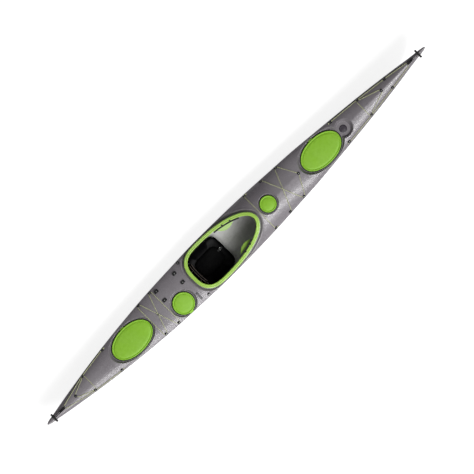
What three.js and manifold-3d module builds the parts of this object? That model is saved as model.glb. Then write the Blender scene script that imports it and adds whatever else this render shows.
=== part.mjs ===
// Sea kayak of composite mouldings: hull, deck and coaming, three bulkheads, four hatches, a drop skeg,
// sliding footrests, a seat and cord rigging. Millimetres: +X is the bow, +Y the port side, +Z up.
// The flat of the keel stands on z = 0, and the origin lies below the middle of the boat.
import * as THREE from 'three';
import { mergeVertices } from 'three/addons/utils/BufferGeometryUtils.js';
import Module from 'manifold-3d';

const wasm = await Module();
wasm.setup();

// Driving dimensions of the hull and deck
const LENGTH = 5460;
const BEAM = 522;
const DEPTH = 210;
const BOW_HEIGHT = 430;
const STERN_HEIGHT = 365;
const FOREDECK_RISE = 118;
const KEEL_FLAT = 170;
const STEM_FLAT = 9;
const SHELL = 3;
const GAP = 0.3;
const OVERRUN = 60;
const END_POUR = 170;

// Shapes along the boat: place as a share of the half length, value as a share of the size it follows
const PLAN_SHARES = [
  [-1, 0.02], [-0.99, 0.069], [-0.953, 0.14], [-0.84, 0.349], [-0.689, 0.586], [-0.538, 0.766],
  [-0.387, 0.893], [-0.25, 0.957], [-0.123, 1], [0.03, 0.981], [0.141, 0.943], [0.254, 0.877],
  [0.367, 0.808], [0.48, 0.7], [0.593, 0.586], [0.707, 0.46], [0.82, 0.31], [0.933, 0.138],
  [0.99, 0.06], [1, 0.02],
];
const KEEL_SHARES = [
  [0, 0], [0.36, 0], [0.6, 0.012], [0.75, 0.05], [0.85, 0.14], [0.92, 0.3], [0.97, 0.57], [1, 0.92],
];
const CROWN_SHARES = [
  [-1, 0.2], [-0.9, 0.34], [-0.7, 0.37], [-0.45, 0.34], [-0.25, 0.35], [-0.13, 0.44], [0, 0.76],
  [0.05, 0.92], [0.1, 1], [0.15, 1], [0.24, 0.82], [0.34, 0.55], [0.48, 0.46], [0.62, 0.5], [0.8, 0.46],
  [0.93, 0.32], [1, 0.18],
];
const RIDGE_SHARES = [
  [-0.3, 0], [0, 0.1], [0.14, 0.28], [0.3, 0.25], [0.36, 0.08], [0.5, 0.08], [0.62, 0.35], [1, 0.35],
];
const FULL_SHARES = [
  [-1, 0.1], [-0.7, 0.35], [-0.4, 0.85], [-0.2, 1], [0.2, 1], [0.4, 0.8], [0.7, 0.25], [1, 0.1],
];
const SHEER_POWER = 2.4;
const DECK_POWER = 2.6;
const DECK_ROUND = 0.75;
const KEEL_MOST_SHARE = 0.45;
const BILGE_OUT_SHARE = 0.75;
const BILGE_LIFT_SHARE = 0.07;
const BILGE_UP_SHARE = 0.3;
const VEE_OUT_SHARE = 0.45;
const VEE_LIFT_SHARE = 0.36;
const VEE_SIDE_SHARE = 0.86;
const VEE_UP_SHARE = 0.66;

// How finely the round forms are divided
const STATIONS = 36;
const END_CROWDING = 0.3;
const BILGE_STEPS = 5;
const DECK_STEPS = 12;
const OVAL_STEPS = 24;
const COAMING_STEPS = 36;
const ROUND_STEPS = 20;
const SMALL_STEPS = 12;
const ARC_STEPS = 8;
const CAP_STEPS = 3;
const CORD_SIDES = 8;

// Finishes: colour, roughness, metalness
const FINISHES = {
  deck: [0x85828a, 0.35, 0.3],
  hull: [0xb9b9b6, 0.4, 0.1],
  lime: [0xa8d052, 0.35, 0],
  cover: [0x8cc233, 0.55, 0],
  black: [0x161616, 0.55, 0],
  rubber: [0x0f0f10, 0.8, 0],
  foam: [0x1b1b1d, 0.95, 0],
  board: [0x9a9a96, 0.6, 0],
  cord: [0xa3a384, 0.85, 0],
  steel: [0xb8babd, 0.3, 0.9],
};

const half = LENGTH / 2;
const boat = new THREE.Group();

// Smooth curve through rows of shares, level at each turning point so that it never overshoots
function smoothCurve(rows) {
  const slopes = rows.slice(1).map((row, i) => (row[1] - rows[i][1]) / (row[0] - rows[i][0]));
  const tangents = rows.map((row, i) => {
    const before = slopes[Math.max(i - 1, 0)];
    const after = slopes[Math.min(i, slopes.length - 1)];
    return before * after > 0 ? 2 * before * after / (before + after) : 0;
  });
  return (place) => {
    const last = rows.length - 2;
    const found = rows.findIndex((row) => row[0] > place) - 1;
    const i = place < rows[0][0] ? 0 : found < 0 ? last : found;
    const run = rows[i + 1][0] - rows[i][0];
    const t = THREE.MathUtils.clamp((place - rows[i][0]) / run, 0, 1);
    const start = (1 + 2 * t) * (1 - t) ** 2 * rows[i][1] + t * (1 - t) ** 2 * run * tangents[i];
    return start + t * t * (3 - 2 * t) * rows[i + 1][1] + t * t * (t - 1) * run * tangents[i + 1];
  };
}

const planCurve = smoothCurve(PLAN_SHARES);
const keelCurve = smoothCurve(KEEL_SHARES);
const crownCurve = smoothCurve(CROWN_SHARES);
const ridgeCurve = smoothCurve(RIDGE_SHARES);
const fullCurve = smoothCurve(FULL_SHARES);

function endHeight(x) {
  return x > 0 ? BOW_HEIGHT : STERN_HEIGHT;
}

function halfBeam(x) {
  return BEAM / 2 * planCurve(x / half);
}

function seamHeight(x) {
  return DEPTH + (endHeight(x) - DEPTH) * Math.abs(x / half) ** SHEER_POWER;
}

function keelHeight(x) {
  return endHeight(x) * keelCurve(Math.abs(x / half));
}

function deckRise(x) {
  return FOREDECK_RISE * crownCurve(x / half);
}

// Height of the deck over the seam at a share of the half beam, as a share of the rise
function crownAcross(x, share) {
  const ridge = ridgeCurve(x / half);
  const across = Math.min(Math.abs(share), 1);
  return (1 - ridge) * (1 - across ** DECK_POWER) ** DECK_ROUND + ridge * (1 - across);
}

// Port side of the hull's section, from the keel flat to the seam, drawn in by the inset
function hullSide(x, inset) {
  const beam = halfBeam(x);
  const keel = keelHeight(x);
  const seam = seamHeight(x);
  const full = fullCurve(x / half);
  const mix = (vee, bilge) => vee + (bilge - vee) * full;
  const flat = Math.min(mix(STEM_FLAT, KEEL_FLAT) / 2, beam * KEEL_MOST_SHARE);
  const tall = seam - keel;
  const out = flat + (beam - flat) * mix(VEE_OUT_SHARE, BILGE_OUT_SHARE);
  const curve = new THREE.CubicBezierCurve(
    new THREE.Vector2(flat, keel),
    new THREE.Vector2(out, keel + tall * mix(VEE_LIFT_SHARE, BILGE_LIFT_SHARE)),
    new THREE.Vector2(beam * mix(VEE_SIDE_SHARE, 1), keel + tall * mix(VEE_UP_SHARE, BILGE_UP_SHARE)),
    new THREE.Vector2(beam, seam),
  );
  const narrow = 1 - inset / beam;
  const shallow = 1 - (inset + GAP / 2) / tall;
  return curve.getPoints(BILGE_STEPS).map((p) => [p.x * narrow, seam - GAP / 2 - (seam - p.y) * shallow]);
}

// The deck's section from the port edge over the crown to the starboard edge
function deckSpan(x, inset) {
  const beam = halfBeam(x);
  const narrow = 1 - inset / beam;
  const low = 1 - inset / deckRise(x);
  const span = [];
  for (let i = 0; i <= DECK_STEPS; i += 1) {
    const share = Math.cos(Math.PI * i / DECK_STEPS);
    span.push([beam * share * narrow, seamHeight(x) + GAP / 2 + deckRise(x) * crownAcross(x, share) * low]);
  }
  return span;
}

const innerReach = half - END_POUR;

// Places of the sections, closer together towards the ends, kept within the reach
function stations(reach) {
  const places = [-innerReach, innerReach];
  for (let i = 0; i <= STATIONS; i += 1) {
    const t = 2 * i / STATIONS - 1;
    places.push(half * ((1 + END_CROWDING) * t - END_CROWDING * t ** 3));
  }
  const inside = places.filter((x) => Math.abs(x) < reach).sort((a, b) => a - b);
  return [-reach, ...inside, reach];
}

// Height of the deck's outside as it is built, straight from section to section
const deckPlaces = stations(half);
const deckSections = deckPlaces.map((x) => deckSpan(x, 0));
function deckHeight(x, y) {
  const found = deckPlaces.findIndex((place) => place > x) - 1;
  const i = found < 0 ? deckPlaces.length - 2 : found;
  const t = (x - deckPlaces[i]) / (deckPlaces[i + 1] - deckPlaces[i]);
  const across = deckSections[i].map((p, j) => {
    const q = deckSections[i + 1][j];
    return [p[0] + (q[0] - p[0]) * t, p[1] + (q[1] - p[1]) * t];
  });
  const j = Math.max(across.findIndex((p) => p[0] <= y), 1);
  const share = (y - across[j - 1][0]) / (across[j][0] - across[j - 1][0]);
  return across[j - 1][1] + (across[j][1] - across[j - 1][1]) * Math.min(share, 1);
}

// Skins rings of as many points each into one closed body, its ends closed by fans or joined to each other
function skin(rings, wrapped) {
  const count = rings[0].length;
  const points = rings.flat();
  const faces = [];
  const spans = wrapped ? rings.length : rings.length - 1;
  for (let i = 0; i < spans; i += 1) {
    const here = i * count;
    const next = (i + 1) % rings.length * count;
    for (let j = 0; j < count; j += 1) {
      const k = (j + 1) % count;
      faces.push(here + j, next + j, next + k, here + j, next + k, here + k);
    }
  }
  if (!wrapped) {
    for (const [first, flipped] of [[0, false], [(rings.length - 1) * count, true]]) {
      const ring = points.slice(first, first + count);
      const middle = ring.reduce((sum, p) => sum.add(p), new THREE.Vector3()).divideScalar(count);
      const centre = points.push(middle) - 1;
      for (let j = 0; j < count; j += 1) {
        const k = (j + 1) % count;
        faces.push(centre, first + (flipped ? k : j), first + (flipped ? j : k));
      }
    }
  }
  const volume = signedVolume(points, faces);
  const outward = volume > 0 ? faces : faces.slice().reverse();
  const geometry = new THREE.BufferGeometry().setFromPoints(points);
  geometry.setIndex(outward);
  geometry.computeVertexNormals();
  return geometry;
}

function signedVolume(points, faces) {
  let volume = 0;
  for (let i = 0; i < faces.length; i += 3) {
    const cross = points[faces[i + 1]].clone().cross(points[faces[i + 2]]);
    volume += points[faces[i]].dot(cross);
  }
  return volume;
}

function solidOf(geometry) {
  const bare = geometry.clone();
  bare.deleteAttribute('normal');
  bare.deleteAttribute('uv');
  const merged = mergeVertices(bare);
  const mesh = new wasm.Mesh({
    numProp: 3,
    vertProperties: new Float32Array(merged.attributes.position.array),
    triVerts: new Uint32Array(merged.index.array),
  });
  return new wasm.Manifold(mesh);
}

// A lathed form as one closed solid, its seam and poles merged
function closedLathe(geometry) {
  return geometryOf(solidOf(geometry));
}

function geometryOf(solid) {
  const mesh = solid.getMesh();
  const geometry = new THREE.BufferGeometry();
  geometry.setAttribute('position', new THREE.BufferAttribute(new Float32Array(mesh.vertProperties), 3));
  geometry.setIndex(new THREE.BufferAttribute(new Uint32Array(mesh.triVerts), 1));
  geometry.computeVertexNormals();
  return geometry;
}

// A geometry moved to where its frame stands, as a solid in the boat's frame
function placedSolid(geometry, frame) {
  frame.updateMatrixWorld(true);
  return solidOf(geometry.clone().applyMatrix4(frame.matrixWorld));
}

// A solid of the boat's frame, seen from a frame that stands in the boat
function localGeometry(solid, frame) {
  frame.updateMatrixWorld(true);
  return geometryOf(solid).applyMatrix4(frame.matrixWorld.clone().invert());
}

function addPart(name, geometry, finish, parent) {
  const [color, roughness, metalness] = FINISHES[finish];
  const mesh = new THREE.Mesh(geometry, new THREE.MeshStandardMaterial({ color, roughness, metalness }));
  mesh.name = name;
  parent.add(mesh);
  return mesh;
}

function frameAt(x, y, z, parent) {
  const frame = new THREE.Group();
  frame.position.set(x, y, z);
  parent.add(frame);
  return frame;
}

// A closed ring of points of an oval: the powers square its ends, and power 2 is an ellipse
function oval(reach, wide, height, powerLong, powerWide, steps) {
  const ring = [];
  for (let i = 0; i < steps; i += 1) {
    const angle = 2 * Math.PI * i / steps;
    const c = Math.cos(angle);
    const s = Math.sin(angle);
    const x = reach * Math.sign(c) * Math.abs(c) ** (2 / powerLong);
    const y = wide * Math.sign(s) * Math.abs(s) ** (2 / powerWide);
    ring.push(new THREE.Vector3(x, y, height));
  }
  return ring;
}

// A box between two corners
function blockBetween(low, high) {
  const size = high.clone().sub(low);
  const middle = high.clone().add(low).divideScalar(2);
  return new THREE.BoxGeometry(size.x, size.y, size.z).translate(middle.x, middle.y, middle.z);
}

// A flat outline in x and z, as thick as stated across the boat and centred on the middle plane
function plateAcross(shape, thick) {
  const settings = { depth: thick, bevelEnabled: false, curveSegments: ARC_STEPS };
  const plate = new THREE.ExtrudeGeometry(shape, settings);
  return plate.rotateX(Math.PI / 2).translate(0, thick / 2, 0);
}

// The hull's outside or inside as a solid whose flat top lies at the seam, raised by the lift
function hullBody(inset, lift, reach) {
  const rings = stations(reach).map((x) => {
    const side = hullSide(x, inset);
    const top = seamHeight(x) - GAP / 2 + lift;
    const port = side.map(([y, z]) => new THREE.Vector3(x, y, z));
    const starboard = side.map(([y, z]) => new THREE.Vector3(x, -y, z)).reverse();
    const edge = side[side.length - 1][0];
    const above = lift > 0 ? [new THREE.Vector3(x, edge, top), new THREE.Vector3(x, -edge, top)] : [];
    return [...starboard, ...port, ...above];
  });
  return skin(rings, false);
}

// The deck's outside or inside as a solid whose flat underside lies at the seam, lowered by the drop
function deckBody(inset, drop, reach) {
  const rings = stations(reach).map((x) => {
    const span = deckSpan(x, inset).map(([y, z]) => new THREE.Vector3(x, y, z));
    const edge = span[0].y;
    const low = seamHeight(x) + GAP / 2 - drop;
    const below = drop > 0 ? [new THREE.Vector3(x, -edge, low), new THREE.Vector3(x, edge, low)] : [];
    return [...span, ...below];
  });
  return skin(rings, false);
}

// The whole space inside hull and deck, as one solid
function interiorBody(inset) {
  const rings = stations(innerReach).map((x) => {
    const port = hullSide(x, inset).map(([y, z]) => new THREE.Vector3(x, y, z));
    const starboard = hullSide(x, inset).map(([y, z]) => new THREE.Vector3(x, -y, z)).reverse();
    const over = deckSpan(x, inset).map(([y, z]) => new THREE.Vector3(x, y, z));
    return [...starboard, ...port, ...over];
  });
  return solidOf(skin(rings, false));
}

// Cockpit opening and coaming
const COCKPIT_FRONT_SHARE = 0.09451;
const COCKPIT_WIDEST_SHARE = -0.12821;
const COCKPIT_BACK_SHARE = -0.21795;
const COCKPIT_WIDTH = 414;
const COAMING_LOW = 262;
const COAMING_FRONT = 350;
const COAMING_BACK = 276;
const COAMING_WALL = 4;
const COAMING_DEPTH = 48;
const LIP_WIDTH = 38;
const LIP_THICK = 5;
const LIP_DROP = 10;
const LIP_ROUND = 4;
const FRONT_POWERS = [2.15, 2];
const BACK_POWERS = [3, 2.8];
const FRONT_SWEEP_POWER = 1.7;

const cockpitFront = half * COCKPIT_FRONT_SHARE;
const cockpitWidest = half * COCKPIT_WIDEST_SHARE;
const cockpitBack = half * COCKPIT_BACK_SHARE;

function coamingHeight(x) {
  if (x > cockpitWidest) {
    const t = (x - cockpitWidest) / (cockpitFront - cockpitWidest);
    return COAMING_LOW + (COAMING_FRONT - COAMING_LOW) * t ** FRONT_SWEEP_POWER;
  }
  const t = (cockpitWidest - x) / (cockpitWidest - cockpitBack);
  return COAMING_LOW + (COAMING_BACK - COAMING_LOW) * t ** 2;
}

// The cockpit opening's outline in plan, let out by the offset along its normals
function cockpitOutline(offset) {
  const edge = [];
  for (let i = 0; i < COAMING_STEPS; i += 1) {
    const angle = 2 * Math.PI * i / COAMING_STEPS;
    const c = Math.cos(angle);
    const s = Math.sin(angle);
    const [powerLong, powerWide] = c > 0 ? FRONT_POWERS : BACK_POWERS;
    const reach = c > 0 ? cockpitFront - cockpitWidest : cockpitWidest - cockpitBack;
    const x = cockpitWidest + reach * Math.sign(c) * Math.abs(c) ** (2 / powerLong);
    edge.push(new THREE.Vector2(x, COCKPIT_WIDTH / 2 * Math.sign(s) * Math.abs(s) ** (2 / powerWide)));
  }
  return edge.map((p, i) => {
    const next = edge[(i + 1) % edge.length];
    const back = edge[(i + edge.length - 1) % edge.length];
    const along = next.clone().sub(back).normalize();
    return new THREE.Vector2(p.x + along.y * offset, p.y - along.x * offset);
  });
}

function cockpitPrism(offset, low, high) {
  const rings = [low, high].map((z) => cockpitOutline(offset).map((p) => new THREE.Vector3(p.x, p.y, z)));
  return solidOf(skin(rings, false));
}

function makeCoaming() {
  const section = [
    [0, -COAMING_DEPTH], [0, -LIP_ROUND], [LIP_ROUND, 0], [LIP_WIDTH - LIP_ROUND, 0],
    [LIP_WIDTH, -LIP_ROUND], [LIP_WIDTH, -LIP_DROP], [LIP_WIDTH - LIP_THICK, -LIP_DROP],
    [LIP_WIDTH - LIP_THICK, -LIP_THICK], [COAMING_WALL, -LIP_THICK], [COAMING_WALL, -COAMING_DEPTH],
  ];
  const inner = cockpitOutline(0);
  const layers = section.map(([out]) => cockpitOutline(out));
  const rings = inner.map((start, i) => section.map(([, up], j) => {
    const p = layers[j][i];
    return new THREE.Vector3(p.x, p.y, coamingHeight(start.x) + up);
  }));
  addPart('coaming', skin(rings, true), 'lime', boat);
}

// Hatches: each stands in a recess of the deck whose floor is flat, pitched and rolled with the deck
const OVAL_LENGTH_SHARE = 0.18242;
const OVAL_WIDTH = 306;
const OVAL_POWER = 2.1;
const DAY_DIAMETER = 234;
const POD_DIAMETER = 175;
const TAB_WIDTH = 50;
const TAB_REACH = 12;
const TAB_THICK = 4;
const BOW_HATCH_SHARE = 0.4531;
const STERN_HATCH_SHARE = -0.5531;
const DAY_HATCH_BEHIND = 277;
const DAY_HATCH_Y = -108;
const POD_HATCH_AHEAD = 207;
const BOW_PITCH = -2.4;
const STERN_PITCH = 2.1;
const DAY_PITCH = 0.5;
const DAY_ROLL = 5;
const POD_PITCH = 2.5;
const RECESS_MARGIN = 6;
const RECESS_LEAST = 3;
const RECESS_TALL = 70;
const RECESS_FLARE = 40;
const RIM_SHOW = 10;
const RIM_FLANGE = 4;
const RIM_HEIGHT = 15;
const RIM_WALL = 6;
const COVER_SKIRT = 5;
const COVER_ROUND = 6;
const COVER_TOP = 5;
const COVER_CROWN = 5;
const COVER_CROWN_SHARE = 0.6;
const COMPASS_AHEAD = 74;
const COMPASS_RECESS = 150;
const COMPASS_DIAMETER = 66;
const COMPASS_HEIGHT = 6;

const ovalLength = half * OVAL_LENGTH_SHARE;
const bowHatchX = half * BOW_HATCH_SHARE;
const sternHatchX = half * STERN_HATCH_SHARE;
const dayHatchX = cockpitBack - DAY_HATCH_BEHIND;
const podHatchX = cockpitFront + POD_HATCH_AHEAD;
const compassX = ovalLength / 2 + COMPASS_AHEAD;

// The tab stands on the port side where it is 1, on the starboard side where it is -1
const HATCHES = {
  bow: { x: bowHatchX, y: 0, long: ovalLength, wide: OVAL_WIDTH, pitch: BOW_PITCH, roll: 0, tab: 1 },
  stern: { x: sternHatchX, y: 0, long: ovalLength, wide: OVAL_WIDTH, pitch: STERN_PITCH, roll: 0, tab: 1 },
  day: {
    x: dayHatchX, y: DAY_HATCH_Y, long: DAY_DIAMETER, wide: DAY_DIAMETER,
    pitch: DAY_PITCH, roll: DAY_ROLL, tab: -1,
  },
  pod: { x: podHatchX, y: 0, long: POD_DIAMETER, wide: POD_DIAMETER, pitch: POD_PITCH, roll: 0, tab: 0 },
};

function hatchOval(hatch, grow, height) {
  const power = hatch.long === hatch.wide ? 2 : OVAL_POWER;
  return oval(hatch.long / 2 + grow, hatch.wide / 2 + grow, height, power, power, OVAL_STEPS);
}

// Sets the recess floor as high as leaves the deck over it everywhere along the recess edge
function seatHatch(hatch) {
  const frame = frameAt(hatch.x, hatch.y, 0, boat);
  frame.rotation.set(THREE.MathUtils.degToRad(hatch.roll), THREE.MathUtils.degToRad(hatch.pitch), 0);
  frame.updateMatrixWorld(true);
  const edge = hatchOval(hatch, RIM_SHOW + RECESS_MARGIN, 0).map((p) => p.applyMatrix4(frame.matrixWorld));
  const spare = edge.map((p) => deckHeight(p.x, p.y) - p.z);
  frame.position.z = Math.min(...spare) - RECESS_LEAST;
  hatch.frame = frame;
}

function recessSolid(hatch, wall) {
  const grow = RIM_SHOW + RECESS_MARGIN + wall;
  const low = hatchOval(hatch, grow, -wall);
  const high = hatchOval(hatch, grow + RECESS_FLARE, RECESS_TALL);
  return placedSolid(skin([low, high], false), hatch.frame);
}

// The compass recess opens into the bow hatch's recess, at the same floor
function compassSolid(wall) {
  const low = COMPASS_RECESS / 2 + wall;
  const barrel = new THREE.CylinderGeometry(low + RECESS_FLARE / 2, low, RECESS_TALL + wall, ROUND_STEPS);
  barrel.rotateX(Math.PI / 2).translate(compassX, 0, (RECESS_TALL - wall) / 2);
  return placedSolid(barrel, HATCHES.bow.frame);
}

function hatchHole(hatch) {
  const grow = -(COVER_SKIRT + GAP + RIM_WALL);
  const rings = [hatchOval(hatch, grow, -OVERRUN), hatchOval(hatch, grow, OVERRUN)];
  return placedSolid(skin(rings, false), hatch.frame);
}

function makeHatch(name, hatch) {
  const wall = COVER_SKIRT + GAP;
  const section = [
    [RIM_SHOW, GAP], [RIM_SHOW, RIM_FLANGE], [-wall, RIM_FLANGE],
    [-wall, RIM_HEIGHT], [-wall - RIM_WALL, RIM_HEIGHT], [-wall - RIM_WALL, GAP],
  ];
  const loops = section.map(([grow, z]) => hatchOval(hatch, grow, z));
  addPart(`${name}_hatch_rim`, skin(loops, true), 'rubber', hatch.frame);

  const top = RIM_HEIGHT + GAP + COVER_TOP;
  const crown = hatchOval(hatch, 0, top + COVER_CROWN).map((p) => {
    return new THREE.Vector3(p.x * COVER_CROWN_SHARE, p.y * COVER_CROWN_SHARE, p.z);
  });
  const rings = [
    hatchOval(hatch, -COVER_SKIRT, RIM_HEIGHT + GAP), hatchOval(hatch, -COVER_SKIRT, RIM_FLANGE + GAP),
    hatchOval(hatch, 0, RIM_FLANGE + GAP), hatchOval(hatch, 0, top - COVER_ROUND),
    hatchOval(hatch, -COVER_ROUND, top), crown,
  ];
  let cover = solidOf(skin(rings, false));
  if (hatch.tab !== 0) {
    const edge = hatch.wide / 2 - COVER_SKIRT;
    const low = new THREE.Vector3(-TAB_WIDTH / 2, edge, RIM_FLANGE + GAP);
    const tip = edge + COVER_SKIRT + TAB_REACH;
    const high = new THREE.Vector3(TAB_WIDTH / 2, tip, RIM_FLANGE + GAP + TAB_THICK);
    const tab = blockBetween(low, high).rotateZ(hatch.tab > 0 ? 0 : Math.PI);
    cover = cover.add(solidOf(tab));
  }
  addPart(`${name}_hatch_cover`, geometryOf(cover), 'cover', hatch.frame);
}

for (const [name, hatch] of Object.entries(HATCHES)) {
  seatHatch(hatch);
  makeHatch(name, hatch);
}

// Skeg: a blade in a narrow box over a slot in the keel
const SKEG_AHEAD = 18;
const SKEG_PIVOT_Z = 38;
const SKEG_LENGTH = 372;
const SKEG_HEEL = 20;
const SKEG_LOW = 16;
const SKEG_HIGH = 58;
const SKEG_THICK = 7;
const SKEG_SIDE_CLEAR = 2;
const SKEG_END_CLEAR = 12;
const SKEG_TOP_CLEAR = 10;
const SKEG_WALL = 4;
const SKEG_PIN = 8;
const SKEG_CROWN_SHARE = 0.86;
const SKEG_TOE_SHARE = 0.9;

const skegX = sternHatchX + SKEG_AHEAD;
const slotFore = skegX + SKEG_HEEL + SKEG_END_CLEAR;
const slotAft = skegX - SKEG_LENGTH - SKEG_END_CLEAR;
const slotHalf = SKEG_THICK / 2 + SKEG_SIDE_CLEAR;
const slotTop = SKEG_PIVOT_Z + SKEG_HIGH + SKEG_TOP_CLEAR;

function makeHull() {
  const outside = solidOf(hullBody(0, 0, half));
  const inside = solidOf(hullBody(SHELL, OVERRUN, innerReach));
  const slot = blockBetween(
    new THREE.Vector3(slotAft, -slotHalf, -OVERRUN),
    new THREE.Vector3(slotFore, slotHalf, slotTop),
  );
  addPart('hull_shell', geometryOf(outside.subtract(inside).subtract(solidOf(slot))), 'hull', boat);
}

function makeDeck() {
  let outside = solidOf(deckBody(0, 0, half));
  let inside = solidOf(deckBody(SHELL, OVERRUN, innerReach));
  for (const hatch of Object.values(HATCHES)) {
    outside = outside.subtract(recessSolid(hatch, 0));
    inside = inside.subtract(recessSolid(hatch, SHELL));
  }
  outside = outside.subtract(compassSolid(0));
  inside = inside.subtract(compassSolid(SHELL));
  let deck = outside.subtract(inside).subtract(cockpitPrism(COAMING_WALL + GAP, 0, COAMING_FRONT + OVERRUN));
  for (const hatch of Object.values(HATCHES)) {
    deck = deck.subtract(hatchHole(hatch));
  }
  addPart('deck_shell', geometryOf(deck), 'deck', boat);
}

makeHull();
makeDeck();
makeCoaming();

// Compass blank: a low round plate on the floor of the compass recess
function makeCompassBlank() {
  const radius = COMPASS_DIAMETER / 2;
  const profile = [
    new THREE.Vector2(0, GAP), new THREE.Vector2(radius, GAP), new THREE.Vector2(radius, COMPASS_HEIGHT / 2),
    new THREE.Vector2(radius * COVER_CROWN_SHARE, COMPASS_HEIGHT), new THREE.Vector2(0, COMPASS_HEIGHT),
  ];
  const blank = new THREE.LatheGeometry(profile, SMALL_STEPS).rotateX(Math.PI / 2);
  blank.translate(compassX, 0, 0);
  addPart('compass_blank', closedLathe(blank), 'black', HATCHES.bow.frame);
}

makeCompassBlank();

// Bulkheads: foam-cored boards, cut to the inside of hull and deck
const BULKHEAD_THICK = 12;
const FRONT_BULKHEAD_BEHIND = 116;
const DAY_BULKHEAD_BEHIND = 69;
const REAR_BULKHEAD_SHARE = 0.372;
const seatedInside = interiorBody(SHELL + GAP);
const frontBulkheadX = bowHatchX - ovalLength / 2 - FRONT_BULKHEAD_BEHIND;
const dayHatchEnd = dayHatchX - DAY_DIAMETER / 2;
const sternHatchFore = sternHatchX + ovalLength / 2;
const rearBulkheadX = dayHatchEnd + (sternHatchFore - dayHatchEnd) * REAR_BULKHEAD_SHARE;

function makeBulkhead(name, x, cut) {
  const low = new THREE.Vector3(x - BULKHEAD_THICK / 2, -BEAM, -OVERRUN);
  const high = new THREE.Vector3(x + BULKHEAD_THICK / 2, BEAM, BOW_HEIGHT);
  const board = seatedInside.intersect(solidOf(blockBetween(low, high)));
  addPart(name, geometryOf(cut ? board.subtract(cut) : board), 'board', boat);
}

// Knee pod: a tub under the pod hatch, bonded to the underside of its recess
const POD_DEPTH = 118;
const POD_TAPER = 8;

function makePod() {
  const mouth = POD_DIAMETER / 2;
  const floor = -SHELL - GAP;
  const profile = [
    new THREE.Vector2(0, floor - POD_DEPTH), new THREE.Vector2(mouth - POD_TAPER, floor - POD_DEPTH),
    new THREE.Vector2(mouth, floor), new THREE.Vector2(mouth - SHELL, floor),
    new THREE.Vector2(mouth - POD_TAPER - SHELL, floor - POD_DEPTH + SHELL),
    new THREE.Vector2(0, floor - POD_DEPTH + SHELL),
  ];
  const tub = new THREE.LatheGeometry(profile, OVAL_STEPS).rotateX(Math.PI / 2);
  addPart('knee_pod', closedLathe(tub), 'hull', HATCHES.pod.frame);
}

makePod();

// Seat: a bucket that stands on the hull's floor, its cheeks rising inside the coaming
const SEAT_LENGTH_SHARE = 0.50879;
const SEAT_SIDE_CLEAR = 10;
const SEAT_HEIGHT = 222;
const SEAT_FRONT_HEIGHT = 60;
const SEAT_BACK_HEIGHT = 96;
const SEAT_CHEEK_FORE = 104;
const SEAT_CHEEK_AFT = 92;
const SEAT_POWER = 4;
const SEAT_RING_SHARES = [[0, 0.6, 0.42], [0.09, 0.86, 0.75], [0.27, 0.96, 0.9], [1, 1, 1]];
const PAD_RING_SHARES = [[0, 0.56, 0.34], [0.5, 0.76, 0.59], [0.8, 0.75, 0.58], [1, 0.6, 0.42]];
const PAD_THICK = 30;

const seatLength = (cockpitFront - cockpitBack) * SEAT_LENGTH_SHARE;
const seatX = cockpitBack + seatLength / 2;
const seatWidth = COCKPIT_WIDTH - 2 * SEAT_SIDE_CLEAR;

function seatRing([up, long, wide], tall, base, inset) {
  const across = seatLength / 2 * long - inset;
  return oval(across, seatWidth / 2 * wide - inset, base + tall * up, SEAT_POWER, SEAT_POWER, OVAL_STEPS);
}

function makeSeat() {
  const base = SHELL + GAP;
  const frame = frameAt(seatX, 0, base, boat);
  const outer = skin(SEAT_RING_SHARES.map((row) => seatRing(row, SEAT_HEIGHT, 0, 0)), false);
  const inner = SEAT_RING_SHARES.map((row) => seatRing(row, SEAT_HEIGHT, SHELL, SHELL));
  const tub = solidOf(outer).subtract(solidOf(skin(inner, false)));
  const front = blockBetween(
    new THREE.Vector3(SEAT_CHEEK_FORE, -seatWidth, SEAT_FRONT_HEIGHT),
    new THREE.Vector3(seatLength, seatWidth, SEAT_HEIGHT + OVERRUN),
  );
  const back = blockBetween(
    new THREE.Vector3(-seatLength, -seatWidth, SEAT_BACK_HEIGHT),
    new THREE.Vector3(-SEAT_CHEEK_AFT, seatWidth, SEAT_HEIGHT + OVERRUN),
  );
  const bore = pinSolid(ROD / 2 + GAP, seatWidth);
  const drilled = bore.translate([BACK_IN - seatLength / 2, 0, SEAT_BACK_HEIGHT - ROD_DROP]);
  const pan = tub.subtract(solidOf(front)).subtract(solidOf(back)).subtract(drilled);
  addPart('seat_pan', geometryOf(pan), 'black', frame);
  const pad = PAD_RING_SHARES.map((row) => seatRing(row, PAD_THICK, SHELL + GAP, 0));
  addPart('seat_pad', skin(pad, false), 'foam', frame);
}

// Backrest: a padded band, hollow towards the paddler, that tilts on a rod through the cheeks of the seat
const BACK_IN = 45;
const BACK_TALL = 166;
const BACK_WIDTH = 280;
const BACK_THICK = 26;
const BACK_CURL = 12;
const BACK_POWER = 12;
const BACK_STEPS = 12;
const BACK_END_SHARE = 0.55;
const ROD = 6;
const ROD_DROP = 12;
const ROD_UP = 12;
const ROD_IN = 4;
const ROD_LENGTH = 302;

makeSeat();

const BACK_SECTION_SHARES = [
  [-0.5, 0.12], [-0.35, 0], [0.35, 0], [0.5, 0.12], [0.42, 0.5],
  [0.5, 0.86], [0.3, 1], [-0.3, 1], [-0.5, 0.86], [-0.42, 0.5],
];

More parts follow.
